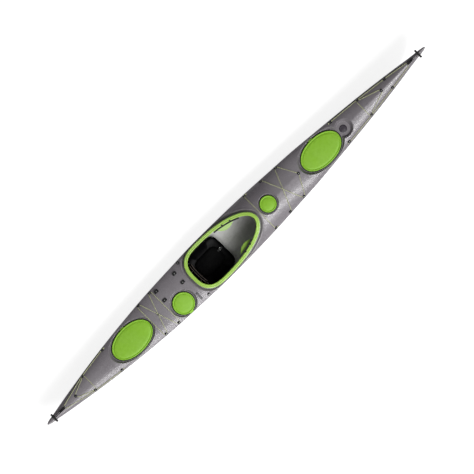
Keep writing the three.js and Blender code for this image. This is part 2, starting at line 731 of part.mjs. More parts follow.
function makeBackrest() {
  const frame = frameAt(cockpitBack + BACK_IN, 0, SHELL + GAP + SEAT_BACK_HEIGHT - ROD_DROP, boat);
  const rings = [];
  for (let i = 0; i <= BACK_STEPS; i += 1) {
    const across = 2 * i / BACK_STEPS - 1;
    const draw = 1 - (1 - BACK_END_SHARE) * across ** BACK_POWER;
    const forward = BACK_CURL * across ** 2 - ROD_IN;
    rings.push(BACK_SECTION_SHARES.map(([deep, up]) => new THREE.Vector3(
      forward + BACK_THICK * deep * draw,
      BACK_WIDTH / 2 * across,
      BACK_TALL * (up * draw + (1 - draw) / 2) - ROD_UP,
    )));
  }
  const band = solidOf(skin(rings, false)).subtract(pinSolid(ROD / 2 + GAP, BACK_WIDTH + OVERRUN));
  addPart('backrest', geometryOf(band), 'foam', frame);
  addPart('backrest_rod', geometryOf(pinSolid(ROD / 2, ROD_LENGTH)), 'steel', frame);
}

makeBackrest();

// Thigh braces: curved plates under the coaming's rim, one on each side
const BRACE_BEHIND = 258;
const BRACE_LENGTH = 240;
const BRACE_REACH = 108;
const BRACE_OUTLINE_SHARES = [[-0.33, -1], [0.125, -1.2], [0.5, -0.5]];
const BRACE_THICK = 6;
const BRACE_DROP = 20;
const BRACE_TILT = 14;
const BRACE_PITCH = -9;

function makeBrace(name, side) {
  const edge = COCKPIT_WIDTH / 2;
  const x = cockpitFront - BRACE_BEHIND;
  const frame = frameAt(x, side * edge, coamingHeight(x) - BRACE_DROP, boat);
  frame.rotation.set(THREE.MathUtils.degToRad(side * BRACE_TILT), THREE.MathUtils.degToRad(BRACE_PITCH), 0);
  const pulls = BRACE_OUTLINE_SHARES.flatMap(([along, out]) => [BRACE_LENGTH * along, BRACE_REACH * out]);
  const shape = new THREE.Shape();
  shape.moveTo(-BRACE_LENGTH / 2, 0);
  shape.bezierCurveTo(...pulls);
  shape.lineTo(BRACE_LENGTH / 2, OVERRUN);
  shape.lineTo(-BRACE_LENGTH / 2, OVERRUN);
  shape.closePath();
  const settings = { depth: BRACE_THICK, bevelEnabled: false, curveSegments: ARC_STEPS };
  const plate = new THREE.ExtrudeGeometry(shape, settings);
  if (side < 0) {
    plate.rotateX(Math.PI).translate(0, 0, BRACE_THICK);
  }
  const opening = cockpitPrism(-GAP, 0, COAMING_FRONT + OVERRUN);
  addPart(name, localGeometry(placedSolid(plate, frame).intersect(opening), frame), 'lime', frame);
}

makeBrace('port_thigh_brace', 1);
makeBrace('starboard_thigh_brace', -1);

// Footrests: a rail bonded to each side of the hull, and a pedal that slides on it
const RAIL_BEHIND = 232;
const RAIL_LENGTH = 350;
const RAIL_TALL = 24;
const RAIL_DEEP = 12;
const RAIL_Z = 118;
const PEDAL_WIDTH = 88;
const PEDAL_TALL = 128;
const PEDAL_THICK = 10;
const PEDAL_DROP = 28;
const CARRIAGE_LENGTH = 56;
const CARRIAGE_DEEP = 10;
const CLAW_THICK = 3;
const CLAW_REACH = 4;

function hullHalfAt(x, z, inset) {
  const side = hullSide(x, inset);
  const i = Math.max(side.findIndex((p) => p[1] > z), 1);
  const t = (z - side[i - 1][1]) / (side[i][1] - side[i - 1][1]);
  return side[i - 1][0] + (side[i][0] - side[i - 1][0]) * t;
}

function makeFootrest(name, side) {
  const x = frontBulkheadX - RAIL_BEHIND;
  const fore = hullHalfAt(x + RAIL_LENGTH / 2, RAIL_Z, SHELL);
  const aft = hullHalfAt(x - RAIL_LENGTH / 2, RAIL_Z, SHELL);
  const frame = frameAt(x, side * (fore + aft) / 2, RAIL_Z, boat);
  frame.rotation.z = side * Math.atan2(fore - aft, RAIL_LENGTH);
  const spread = (near, far) => [Math.min(side * near, side * far), Math.max(side * near, side * far)];
  const block = (x0, x1, near, far, z0, z1) => {
    const [y0, y1] = spread(near, far);
    return blockBetween(new THREE.Vector3(x0, y0, z0), new THREE.Vector3(x1, y1, z1));
  };
  const reach = RAIL_LENGTH / 2;
  const rail = block(-reach, reach, -RAIL_DEEP, OVERRUN / 2, -RAIL_TALL / 2, RAIL_TALL / 2);
  const fitted = placedSolid(rail, frame).intersect(seatedInside);
  addPart(`${name}_footrest_rail`, localGeometry(fitted, frame), 'black', frame);
  const face = -RAIL_DEEP - GAP;
  const grip = RAIL_TALL / 2 + GAP;
  const long = CARRIAGE_LENGTH / 2;
  const body = block(-long, long, face - CARRIAGE_DEEP, face, -grip - CLAW_THICK, grip + CLAW_THICK);
  const claws = block(-long, long, face, face + CLAW_REACH, -grip - CLAW_THICK, grip + CLAW_THICK);
  const slit = block(-reach, reach, face - GAP, OVERRUN, -grip, grip);
  const plate = block(
    -PEDAL_THICK / 2, PEDAL_THICK / 2, face - PEDAL_WIDTH, face - CARRIAGE_DEEP / 2,
    -PEDAL_DROP, PEDAL_TALL - PEDAL_DROP,
  );
  const carriage = solidOf(body).add(solidOf(claws).subtract(solidOf(slit)));
  addPart(`${name}_foot_pedal`, geometryOf(carriage.add(solidOf(plate))), 'black', frame);
}

makeFootrest('port', 1);
makeFootrest('starboard', -1);

// The skeg's box, blade and pin
function skegProfile() {
  const shape = new THREE.Shape();
  shape.moveTo(SKEG_HEEL, 0);
  shape.absarc(0, 0, SKEG_HEEL, 0, Math.PI / 2, false);
  shape.quadraticCurveTo(-SKEG_LENGTH / 2, SKEG_HIGH, -SKEG_LENGTH * SKEG_CROWN_SHARE, SKEG_HIGH);
  shape.quadraticCurveTo(-SKEG_LENGTH, SKEG_HIGH / 2, -SKEG_LENGTH * SKEG_TOE_SHARE, -SKEG_LOW);
  shape.lineTo(0, -SKEG_LOW);
  shape.quadraticCurveTo(SKEG_HEEL, -SKEG_LOW, SKEG_HEEL, 0);
  return shape;
}

function pinSolid(radius, long) {
  return solidOf(new THREE.CylinderGeometry(radius, radius, long, SMALL_STEPS));
}

function makeSkeg() {
  const frame = frameAt(skegX, 0, SKEG_PIVOT_Z, boat);
  const boxWide = slotHalf + SKEG_WALL;
  const radius = SKEG_PIN / 2;
  const outer = blockBetween(
    new THREE.Vector3(slotAft - SKEG_WALL, -boxWide, -OVERRUN),
    new THREE.Vector3(slotFore + SKEG_WALL, boxWide, slotTop + SKEG_WALL),
  );
  const inner = blockBetween(
    new THREE.Vector3(slotAft, -slotHalf, -OVERRUN * 2),
    new THREE.Vector3(slotFore, slotHalf, slotTop),
  );
  const bore = pinSolid(radius + GAP, BEAM).translate([skegX, 0, SKEG_PIVOT_Z]);
  const box = solidOf(outer).intersect(seatedInside).subtract(solidOf(inner)).subtract(bore);
  addPart('skeg_box', localGeometry(box, frame), 'hull', frame);
  const blade = solidOf(plateAcross(skegProfile(), SKEG_THICK)).subtract(pinSolid(radius + GAP, BEAM));
  addPart('skeg_blade', geometryOf(blade), 'black', frame);
  addPart('skeg_pin', geometryOf(pinSolid(radius, 2 * boxWide)), 'steel', frame);
}

makeSkeg();

// A frame that stands on the deck, its X turned from the bow by the yaw and its Z square to the deck
const PROBE = 4;
function deckNormal(x, y) {
  const fore = new THREE.Vector3(2 * PROBE, 0, deckHeight(x + PROBE, y) - deckHeight(x - PROBE, y));
  const port = new THREE.Vector3(0, 2 * PROBE, deckHeight(x, y + PROBE) - deckHeight(x, y - PROBE));
  return fore.cross(port).normalize();
}

function deckFrame(x, y, yaw) {
  const up = deckNormal(x, y);
  const along = new THREE.Vector3(Math.cos(yaw), Math.sin(yaw), 0);
  along.addScaledVector(up, -along.dot(up)).normalize();
  const frame = frameAt(x, y, deckHeight(x, y), boat);
  frame.quaternion.setFromRotationMatrix(new THREE.Matrix4().makeBasis(along, up.clone().cross(along), up));
  return frame;
}

// The deck let out by the gap: what stands on the deck is cut by it, so that it sits on the curve
const deckGrown = solidOf(deckBody(-GAP, OVERRUN, half - GAP));

function onDeck(solid, frame) {
  const placed = placedSolid(geometryOf(solid), frame);
  return localGeometry(placed.subtract(deckGrown), frame);
}

// Deck fittings: bridges of black plastic that the cords pass under, fore and aft or across
const FITTING_LONG = 28;
const FITTING_WIDE = 27;
const FITTING_TALL = 12.5;
const FITTING_SINK = 7;
const FITTING_SHOULDER = 8;
const FITTING_TOP_SHARE = 0.8;
const FITTING_POWER = 2.5;
const TUNNEL_WIDE = 15.5;
const TUNNEL_TALL = 8.5;
const CROSS_LINE_AHEAD = 94;

// Stretches of the deck that the fittings share: the ends of each, then shares of it and of the half beam
const STRETCHES = {
  cockpit: [cockpitFront + CROSS_LINE_AHEAD, podHatchX],
  fore: [podHatchX + POD_DIAMETER / 2, bowHatchX - ovalLength / 2],
  aft: [dayHatchEnd, sternHatchFore],
  ends: [0, half],
};
const FITTING_SHARES = {
  cockpit: ['cockpit', 0, 0.933],
  bungee_fore_1: ['fore', 0.0478, 0.92], bungee_fore_2: ['fore', 0.5304, 0.915],
  bungee_tip: ['fore', 0.8163, 0],
  bungee_aft_1: ['aft', 0.2081, 0.916], bungee_aft_2: ['aft', 0.8504, 0.913],
  perimeter_fore_1: ['ends', 0.5535, 0.835], perimeter_fore_2: ['ends', 0.683, 0.805],
  perimeter_fore_3: ['ends', 0.8095, 0.68], park_fore_tip: ['ends', 0.771, 0],
  perimeter_aft_1: ['ends', -0.66, 0.877], perimeter_aft_2: ['ends', -0.783, 0.846],
  park_aft_tip: ['ends', -0.8505, 0],
};

function fittingPlace(key, side) {
  const [stretch, along, out] = FITTING_SHARES[key];
  const [start, end] = STRETCHES[stretch];
  const x = start + (end - start) * along;
  return new THREE.Vector2(x, side * halfBeam(x) * out);
}

function fittingSolid() {
  const ring = (share, height) => {
    const [long, wide] = [FITTING_LONG / 2 * share, FITTING_WIDE / 2 * share];
    return oval(long, wide, height, FITTING_POWER, FITTING_POWER, SMALL_STEPS);
  };
  const rings = [
    ring(1, -FITTING_SINK), ring(1, FITTING_SHOULDER), ring(FITTING_TOP_SHARE, FITTING_TALL),
  ];
  const tunnel = blockBetween(
    new THREE.Vector3(-FITTING_LONG, -TUNNEL_WIDE / 2, -OVERRUN),
    new THREE.Vector3(FITTING_LONG, TUNNEL_WIDE / 2, TUNNEL_TALL),
  );
  return solidOf(skin(rings, false)).subtract(solidOf(tunnel));
}

function makeFitting(name, key, side, yaw) {
  const place = fittingPlace(key, side);
  const frame = deckFrame(place.x, place.y, yaw);
  addPart(name, onDeck(fittingSolid(), frame), 'black', frame);
}

for (const [word, side] of [['port', 1], ['starboard', -1]]) {
  makeFitting(`fore_bungee_fitting_aft_${word}`, 'bungee_fore_1', side, 0);
  makeFitting(`fore_bungee_fitting_fore_${word}`, 'bungee_fore_2', side, 0);
  makeFitting(`aft_bungee_fitting_fore_${word}`, 'bungee_aft_1', side, 0);
  makeFitting(`aft_bungee_fitting_aft_${word}`, 'bungee_aft_2', side, 0);
}
makeFitting('fore_bungee_fitting_tip', 'bungee_tip', 1, Math.PI / 2);
makeFitting('fore_park_fitting', 'park_fore_tip', 1, Math.PI / 2);
makeFitting('aft_park_fitting', 'park_aft_tip', 1, Math.PI / 2);

// Square mounting pads on the port side of the aft deck, each with a level top
const PAD_FORE_BEHIND = 128;
const PAD_AFT_AHEAD = 59.6;
const PAD_INNER_Y = 53;
const PAD_OUTER_Y = 176;
const PAD_LONG = 48;
const PAD_WIDE = 34;
const PAD_TALL = 9;
const PAD_SINK = 12;
const PAD_CORNER_POWER = 7;

function makePads() {
  const padForeX = cockpitBack - PAD_FORE_BEHIND;
  const padAftX = fittingPlace('bungee_aft_1', 1).x + PAD_AFT_AHEAD;
  for (const [row, x] of [['fore', padForeX], ['aft', padAftX]]) {
    for (const [column, y] of [['inner', PAD_INNER_Y], ['outer', PAD_OUTER_Y]]) {
      const frame = frameAt(x, y, deckHeight(x, y), boat);
      const ring = (height) => {
        return oval(PAD_LONG / 2, PAD_WIDE / 2, height, PAD_CORNER_POWER, PAD_CORNER_POWER, ROUND_STEPS);
      };
      const block = solidOf(skin([ring(-PAD_SINK), ring(PAD_TALL)], false));
      addPart(`mounting_pad_${row}_${column}`, onDeck(block, frame), 'black', frame);
    }
  }
}

makePads();

// A cord's path, straight from point to point, so that each ring of the tube falls on a chosen point
class Route extends THREE.Curve {
  constructor(points) {
    super();
    this.points = points;
  }

  getPoint(t) {
    const reach = t * (this.points.length - 1);
    const i = Math.min(Math.floor(reach), this.points.length - 2);
    return this.points[i].clone().lerp(this.points[i + 1], reach - i);
  }

  getPointAt(u) {
    return this.getPoint(u);
  }

  getTangentAt(u) {
    const step = TANGENT_SHARE / (this.points.length - 1);
    return this.getPoint(Math.min(u + step, 1)).sub(this.getPoint(Math.max(u - step, 0))).normalize();
  }
}

const TANGENT_SHARE = 0.5;
const CORD = 6;
const CORD_CLEAR = 1.35;
const PERIMETER_SIT = 0.6;
const CORD_STEP = 27;
const CORD_STRAY = 0.35;
const TURN = 19;
const TURN_HOLD = 12;
const TURN_IN = 8;
const LANE = 4.2;
const CORD_END_GAP = 3;
const CROSS_SHARE = 0.08;
const CROSS_LIFT = 7.4;

function tube(points, diameter) {
  const ring = oval(diameter / 2, diameter / 2, 0, 2, 2, CORD_SIDES);
  const outline = new THREE.Shape(ring.map((p) => new THREE.Vector2(p.x, p.y)));
  const settings = { steps: points.length - 1, extrudePath: new Route(points), bevelEnabled: false };
  return new THREE.ExtrudeGeometry(outline, settings);
}

// Lays a cord on the deck through plan points of x, y and lift, with more points on each long stretch
function layOnDeck(stops) {
  const points = [];
  stops.forEach((stop, i) => {
    const next = stops[Math.min(i + 1, stops.length - 1)];
    const run = Math.hypot(next[0] - stop[0], next[1] - stop[1]);
    const count = Math.max(Math.ceil(run / CORD_STEP), 1);
    const shares = Array.from({ length: i === stops.length - 1 ? 1 : count }, (_, j) => j / count);
    const ridge = -stop[1] / (next[1] - stop[1]);
    if (ridge > 0 && ridge < 1) {
      const nearest = Math.round(ridge * count);
      if (nearest > 0 && nearest < count) {
        shares[nearest] = ridge;
      } else {
        shares.splice(nearest === 0 ? 1 : count, 0, ridge);
      }
    }
    for (const share of shares) {
      const [x, y, lift] = stop.map((value, k) => value + (next[k] - value) * share);
      const foot = new THREE.Vector3(x, y, deckHeight(x, y));
      points.push(foot.addScaledVector(deckNormal(x, y), CORD / 2 + CORD_CLEAR + lift));
    }
  });
  return points;
}

// The stops of a cord that passes fore and aft through a fitting, arriving from inboard and leaving inboard
function throughFitting(key, side, way) {
  const { x, y } = fittingPlace(key, side);
  return [
    [x - way * TURN, y - side * TURN_IN, 0], [x - way * TURN_HOLD, y, 0],
    [x + way * TURN_HOLD, y, 0], [x + way * TURN, y - side * TURN_IN, 0],
  ];
}

// A stretch between two stops that climbs over the cord it crosses at the middle
function crossOver(from, to) {
  const between = (share, k) => from[k] + (to[k] - from[k]) * share;
  const at = (share, lift) => [between(share, 0), between(share, 1), lift];
  return [from, at(0.5 - CROSS_SHARE, 0), at(0.5, CROSS_LIFT), at(0.5 + CROSS_SHARE, 0), to];
}

// The stops of a cord that passes across through a middle fitting, coming and going on the same side of it
function aroundTip(key, way) {
  const { x } = fittingPlace(key, 1);
  return [[x - way * TURN_IN, -TURN, 0], [x, -TURN_HOLD, 0], [x, TURN_HOLD, 0], [x - way * TURN_IN, TURN, 0]];
}

// Leaves out each point that lies within the tolerance of the straight line past it
function thinOut(points) {
  const kept = [points[0]];
  let start = 0;
  for (let i = 1; i < points.length - 1; i += 1) {
    const chord = new THREE.Line3(points[start], points[i + 1]);
    const passed = points.slice(start + 1, i + 1);
    const strays = passed.map((p) => chord.closestPointToPoint(p, true, new THREE.Vector3()).distanceTo(p));
    if (Math.max(...strays) > CORD_STRAY) {
      kept.push(points[i]);
      start = i;
    }
  }
  return [...kept, points[points.length - 1]];
}

function addDeckCord(name, stops) {
  addPart(name, tube(thinOut(layOnDeck(stops)), CORD), 'cord', boat);
}

function makeForeBungee() {
  const first = throughFitting('bungee_fore_1', 1, 1).slice(2);
  const last = throughFitting('bungee_fore_1', -1, -1).slice(0, 2);
  const start = fittingPlace('bungee_fore_1', 1);
  const outward = throughFitting('bungee_fore_2', -1, 1);
  const homeward = throughFitting('bungee_fore_2', 1, -1);
  addDeckCord('fore_bungee', [
    [start.x, start.y, 0], ...first, ...outward, ...aroundTip('bungee_tip', 1), ...homeward.slice(0, 3),
    ...crossOver(homeward[3], last[0]), last[1], [start.x, -start.y, 0],
  ]);
}

function makeAftBungee() {
  const start = fittingPlace('bungee_aft_2', 1);
  const diagonal = throughFitting('bungee_aft_1', -1, -1);
  const home = throughFitting('bungee_aft_2', 1, -1);
  addDeckCord('aft_bungee', [
    [start.x - CORD_END_GAP, start.y, 0], ...home.slice(2), ...throughFitting('bungee_aft_2', -1, 1),
    ...throughFitting('bungee_aft_1', 1, 1), ...diagonal.slice(0, 3),
    ...crossOver(diagonal[3], home[0]), home[1], [start.x + CORD_END_GAP, start.y, 0],
  ]);
}

// A park line: across between two gunwale fittings and on to a middle fitting, beside the perimeter line
function makeParkLine(name, key, tip, way) {
  const { x, y } = fittingPlace(key, 1);
  const inner = y - LANE;
  const stop = (along, out, side) => [x + way * along, side * (inner - out), 0];
  addDeckCord(name, [
    stop(-CORD_END_GAP, 0, 1), stop(-TURN_HOLD, 0, 1), stop(-TURN, TURN_IN, 1),
    stop(-TURN, TURN_IN, -1), stop(-TURN_HOLD, 0, -1), stop(TURN_HOLD, 0, -1), stop(TURN, TURN_IN, -1),
    ...aroundTip(tip, way), stop(TURN, TURN_IN, 1), stop(TURN_HOLD, 0, 1), stop(CORD_END_GAP, 0, 1),
  ]);
}

function makeCockpitLine() {
  const { x, y } = fittingPlace('cockpit', 1);
  addDeckCord('cockpit_cross_line', [
    [x + TURN_HOLD, y, 0], [x, y, 0], [x - TURN_IN, y - TURN_IN, 0], [x - TURN_IN, y - TURN, 0],
    [x - TURN_IN, TURN - y, 0], [x - TURN_IN, TURN_IN - y, 0], [x, -y, 0], [x + TURN_HOLD, -y, 0],
  ]);
}

makeForeBungee();
makeAftBungee();
makeParkLine('fore_park_line', 'perimeter_fore_2', 'park_fore_tip', 1);
makeParkLine('aft_park_line', 'perimeter_aft_2', 'park_aft_tip', -1);
makeCockpitLine();

// End fittings: a base with a tunnel for the perimeter line and an upright ear for the toggle's loop
const END_INSET = 197;
const END_AFT = 62;
const END_FORE = 30;
const END_WIDE = 26;
const END_TALL = 10;
const END_SINK = 14;
const END_POWER = 3;
const EAR_LONG = 30;
const EAR_THICK = 8;
const EAR_TALL = 27;
const EAR_HOLE = 9;
const EAR_HOLE_Z = 17;
const END_TUNNEL_X = 44;
const END_TUNNEL_LONG = 18;
const EASE = 2;

// Toggles: a bar on a cord loop
const TOGGLE_REACH = 99;
const TOGGLE_LENGTH = 104;
const TOGGLE_DIAMETER = 22;
const TOGGLE_BORE = 6.4;
const TOGGLE_SIDE = 7;
const LOOP_CORD = 5;
const LOOP_CLEAR = 0.9;

function endFitting() {
  const middle = (END_FORE - END_AFT) / 2;
  const ring = (height) => {
    const loop = oval((END_FORE + END_AFT) / 2, END_WIDE / 2, height, END_POWER, END_POWER, SMALL_STEPS);
    return loop.map((p) => p.setX(p.x + middle));
  };
  const base = solidOf(skin([ring(-END_SINK), ring(END_TALL)], false));
  const ear = new THREE.Shape();
  ear.moveTo(-EAR_LONG / 2, 0);
  ear.lineTo(EAR_LONG / 2, 0);
  ear.lineTo(EAR_LONG / 2, EAR_TALL - EAR_LONG / 2);
  ear.absarc(0, EAR_TALL - EAR_LONG / 2, EAR_LONG / 2, 0, Math.PI, false);
  ear.closePath();
  const hole = pinSolid(EAR_HOLE / 2, END_WIDE).translate([0, 0, EAR_HOLE_Z]);
  const tunnel = blockBetween(
    new THREE.Vector3(-END_TUNNEL_X - END_TUNNEL_LONG / 2, -END_WIDE, -OVERRUN),
    new THREE.Vector3(-END_TUNNEL_X + END_TUNNEL_LONG / 2, END_WIDE, TUNNEL_TALL),
  );
  return base.add(solidOf(plateAcross(ear, EAR_THICK))).subtract(hole).subtract(solidOf(tunnel));
}

function makeEnd(name, way) {
  const x = way * (half - END_INSET);
  const frame = deckFrame(x, 0, way > 0 ? 0 : Math.PI);
  addPart(`${name}_end_fitting`, onDeck(endFitting(), frame), 'black', frame);

  const barX = x + way * TOGGLE_REACH;
  const rest = new THREE.Vector3(barX, 0, deckHeight(barX, 0) + TOGGLE_DIAMETER / 2 + CORD_CLEAR);
  frame.updateMatrixWorld(true);
  const bar = frame.worldToLocal(rest);
  const radius = TOGGLE_DIAMETER / 2;
  const straight = TOGGLE_LENGTH - TOGGLE_DIAMETER;
  let toggle = solidOf(new THREE.CapsuleGeometry(radius, straight, CAP_STEPS, SMALL_STEPS));
  for (const side of [1, -1]) {
    const bore = pinSolid(TOGGLE_BORE / 2, TOGGLE_DIAMETER).rotate([0, 0, 90]);
    toggle = toggle.subtract(bore.translate([-radius / 2, side * TOGGLE_SIDE, 0]));
  }
  addPart(`${name}_toggle`, geometryOf(toggle).translate(bar.x, bar.y, bar.z), 'rubber', frame);

  const beside = EAR_THICK / 2 + LOOP_CORD / 2 + LOOP_CLEAR;
  const leg = (side) => [
    new THREE.Vector3(bar.x, side * TOGGLE_SIDE, bar.z),
    new THREE.Vector3(bar.x - radius - LOOP_CORD, side * TOGGLE_SIDE, bar.z),
    new THREE.Vector3(bar.x / 2, side * (beside + TOGGLE_SIDE) / 2, (bar.z + EAR_HOLE_Z) / 2 + LOOP_CORD),
    new THREE.Vector3(LOOP_CORD * 2, side * beside, EAR_HOLE_Z),
    new THREE.Vector3(LOOP_CORD / 2, side * beside, EAR_HOLE_Z),
    new THREE.Vector3(0, side * EAR_THICK / 2, EAR_HOLE_Z),
  ];
  addPart(`${name}_toggle_loop`, tube([...leg(1), ...leg(-1).reverse()], LOOP_CORD), 'cord', frame);
}

makeEnd('bow', 1);
makeEnd('stern', -1);

// A perimeter line runs through the gunwale fittings and through the end fitting
function makePerimeterLine(name, keys, way) {
  const sides = keys.map((key) => fittingPlace(key, 1));
  const tunnel = half - END_INSET - END_TUNNEL_X;
  const port = [
    [sides[0].x - way * FITTING_LONG / 2, sides[0].y + LANE, -PERIMETER_SIT],
    ...sides.map((p) => [p.x, p.y + LANE, -PERIMETER_SIT]),
    [way * (tunnel - END_WIDE), END_WIDE - CORD, -PERIMETER_SIT],
    [way * (tunnel - EASE), END_WIDE / 2, -PERIMETER_SIT], [way * tunnel, END_WIDE / 4, -PERIMETER_SIT],
  ];
  addDeckCord(name, [...port, ...port.slice().reverse().map(([x, y, lift]) => [x, -y, lift])]);
}

makePerimeterLine('fore_perimeter_line', ['perimeter_fore_1', 'perimeter_fore_2', 'perimeter_fore_3'], 1);
makePerimeterLine('aft_perimeter_line', ['perimeter_aft_1', 'perimeter_aft_2'], -1);

// Skeg control: a slider in a track on the deck behind the cockpit, and the cable down to the skeg's box
const TRACK_BEHIND = 108;
const TRACK_Y = -168;
const TRACK_LONG = 86;
const TRACK_WIDE = 20;
const TRACK_TALL = 8;
const TRACK_SINK = 12;
const GROOVE_WIDE = 10;
const GROOVE_DEEP = 4.5;
const GROOVE_LONG = 74;
const SLIDER_LONG = 18;
const SLIDER_HEAD = 7;
const SLIDER_TRAVEL = 50;
const CABLE = 5;
const CABLE_HOLE = 9;
// The cable's way from the track to the skeg box: a share of the distance, then its places in y and z
const CABLE_SHORT = 1.4;
const CABLE_ROUTE = [
  [-0, -178, 224], [0.004, -192, 196], [0.0253, -207, 160], [0.0758, -213, 132], [0.1557, -213, 120],
  [0.2621, -206, 114], [0.3685, -194, 110], [0.475, -180, 108], [0.5548, -168, 106],
  [0.6613, -146, 102], [0.7677, -116, 98], [0.8475, -84, 94], [0.9141, -50, 91], [0.9606, -20, 89],
  [0.9832, -5, 88], [1, 0, 88],
];

const trackX = cockpitBack - TRACK_BEHIND;
const cableEnd = slotFore + SKEG_WALL + CABLE_SHORT;

function makeSkegControl() {
  const frame = deckFrame(trackX, TRACK_Y, -Math.PI / 2);
  const body = blockBetween(
    new THREE.Vector3(-TRACK_LONG / 2, -TRACK_WIDE / 2, -TRACK_SINK),
    new THREE.Vector3(TRACK_LONG / 2, TRACK_WIDE / 2, TRACK_TALL),
  );
  const groove = blockBetween(
    new THREE.Vector3(-GROOVE_LONG / 2, -GROOVE_WIDE / 2, TRACK_TALL - GROOVE_DEEP),
    new THREE.Vector3(GROOVE_LONG / 2, GROOVE_WIDE / 2, TRACK_TALL + OVERRUN),
  );
  addPart('skeg_track', onDeck(solidOf(body).subtract(solidOf(groove)), frame), 'black', frame);

  const foot = blockBetween(
    new THREE.Vector3(-SLIDER_LONG / 2, -GROOVE_WIDE / 2 + GAP, TRACK_TALL - GROOVE_DEEP + GAP),
    new THREE.Vector3(SLIDER_LONG / 2, GROOVE_WIDE / 2 - GAP, TRACK_TALL + GAP * 2),
  );
  const head = blockBetween(
    new THREE.Vector3(-SLIDER_LONG / 2, -TRACK_WIDE / 2, TRACK_TALL + GAP),
    new THREE.Vector3(SLIDER_LONG / 2, TRACK_WIDE / 2, TRACK_TALL + SLIDER_HEAD),
  );
  const slider = geometryOf(solidOf(foot).add(solidOf(head)));
  const stood = new THREE.Group();
  stood.position.x = -SLIDER_TRAVEL / 2;
  frame.add(stood);
  addPart('skeg_slider', slider, 'lime', stood);
}

makeSkegControl();
const cableRun = cableEnd - trackX;
const cablePoints = CABLE_ROUTE.map(([along, y, z]) => new THREE.Vector3(trackX + cableRun * along, y, z));
addPart('skeg_cable', tube(cablePoints, CABLE), 'black', boat);

makeBulkhead('front_bulkhead', frontBulkheadX);
makeBulkhead('day_bulkhead', cockpitBack - DAY_BULKHEAD_BEHIND);
const cableHole = solidOf(tube(cablePoints, CABLE_HOLE));
makeBulkhead('rear_bulkhead', rearBulkheadX, cableHole);

export default boat;
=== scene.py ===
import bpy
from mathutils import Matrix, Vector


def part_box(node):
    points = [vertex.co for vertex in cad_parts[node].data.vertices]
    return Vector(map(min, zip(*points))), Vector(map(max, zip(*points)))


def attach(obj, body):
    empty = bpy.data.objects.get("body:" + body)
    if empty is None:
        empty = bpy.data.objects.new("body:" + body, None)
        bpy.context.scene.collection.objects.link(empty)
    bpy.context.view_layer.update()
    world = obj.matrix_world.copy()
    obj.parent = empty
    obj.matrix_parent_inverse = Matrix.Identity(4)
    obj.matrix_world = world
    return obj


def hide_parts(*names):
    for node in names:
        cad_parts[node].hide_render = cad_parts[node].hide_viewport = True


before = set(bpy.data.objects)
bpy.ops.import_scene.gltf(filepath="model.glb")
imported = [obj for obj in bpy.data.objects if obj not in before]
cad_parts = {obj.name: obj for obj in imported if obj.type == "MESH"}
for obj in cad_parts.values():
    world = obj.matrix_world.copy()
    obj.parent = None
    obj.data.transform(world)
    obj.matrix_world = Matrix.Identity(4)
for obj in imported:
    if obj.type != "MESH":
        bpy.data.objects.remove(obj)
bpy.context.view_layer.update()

import math

import bmesh
import bpy
import numpy as np
from mathutils import Matrix, Vector, geometry

# Studio: a white floor, light from all round that is weaker on the port side, and two soft lamps
# high on the starboard side: a long one over the fore half, and a broad one over the aft half.
# The camera looks straight down with a long lens, and its turn puts the bow in the upper right.
VIEW_WIDTH, LENS, SENSOR = 4.880, 200.0, 36.0
BOAT_TURN = math.radians(45.03)
CAMERA_SHIFT_Y, EYE_LEVEL = -0.0146, 0.25
FLOOR_SIZE, FLOOR_DROP, FLOOR_GLOW = 60.0, 0.001, 0.82
AIR_STARBOARD, AIR_PORT = 0.5, 0.0

camera_data = bpy.data.cameras.new("camera")
camera_data.lens = LENS
camera_data.sensor_width = SENSOR
camera_data.clip_end = 200.0
camera = bpy.data.objects.new("camera", camera_data)
camera.location = (0.0, CAMERA_SHIFT_Y, EYE_LEVEL + VIEW_WIDTH * LENS / SENSOR)
camera.rotation_euler = (0.0, 0.0, -BOAT_TURN)
bpy.context.scene.collection.objects.link(camera)
bpy.context.scene.camera = camera
bpy.context.scene.view_settings.view_transform = "Standard"


def new_material(name, **sockets):
    """A node material whose Principled shader has the given values on its own sockets."""
    material = bpy.data.materials.new(name)
    material.use_nodes = True
    shader = material.node_tree.nodes["Principled BSDF"]
    for key, value in sockets.items():
        shader.inputs[key.replace("_", " ")].default_value = value
    return material


def make_node(tree, kind, inputs=(), **settings):
    """A node with its properties set; each input, by number or name, gets an output or a value."""
    made = tree.nodes.new(kind)
    for key, value in settings.items():
        setattr(made, key, value)
    for socket, value in dict(inputs).items():
        if isinstance(value, bpy.types.NodeSocket):
            tree.links.new(value, made.inputs[socket])
        else:
            made.inputs[socket].default_value = value
    return made


def calc(tree, operation, *values):
    """Output of a Math node on one or two outputs or numbers."""
    return make_node(tree, "ShaderNodeMath", enumerate(values), operation=operation).outputs[0]


def spread(tree, value, low, high, to_low=0.0, to_high=1.0):
    """The value carried from the range low to high over to another range, and held at its ends."""
    return make_node(tree, "ShaderNodeMapRange", enumerate((value, low, high, to_low, to_high))).outputs[0]


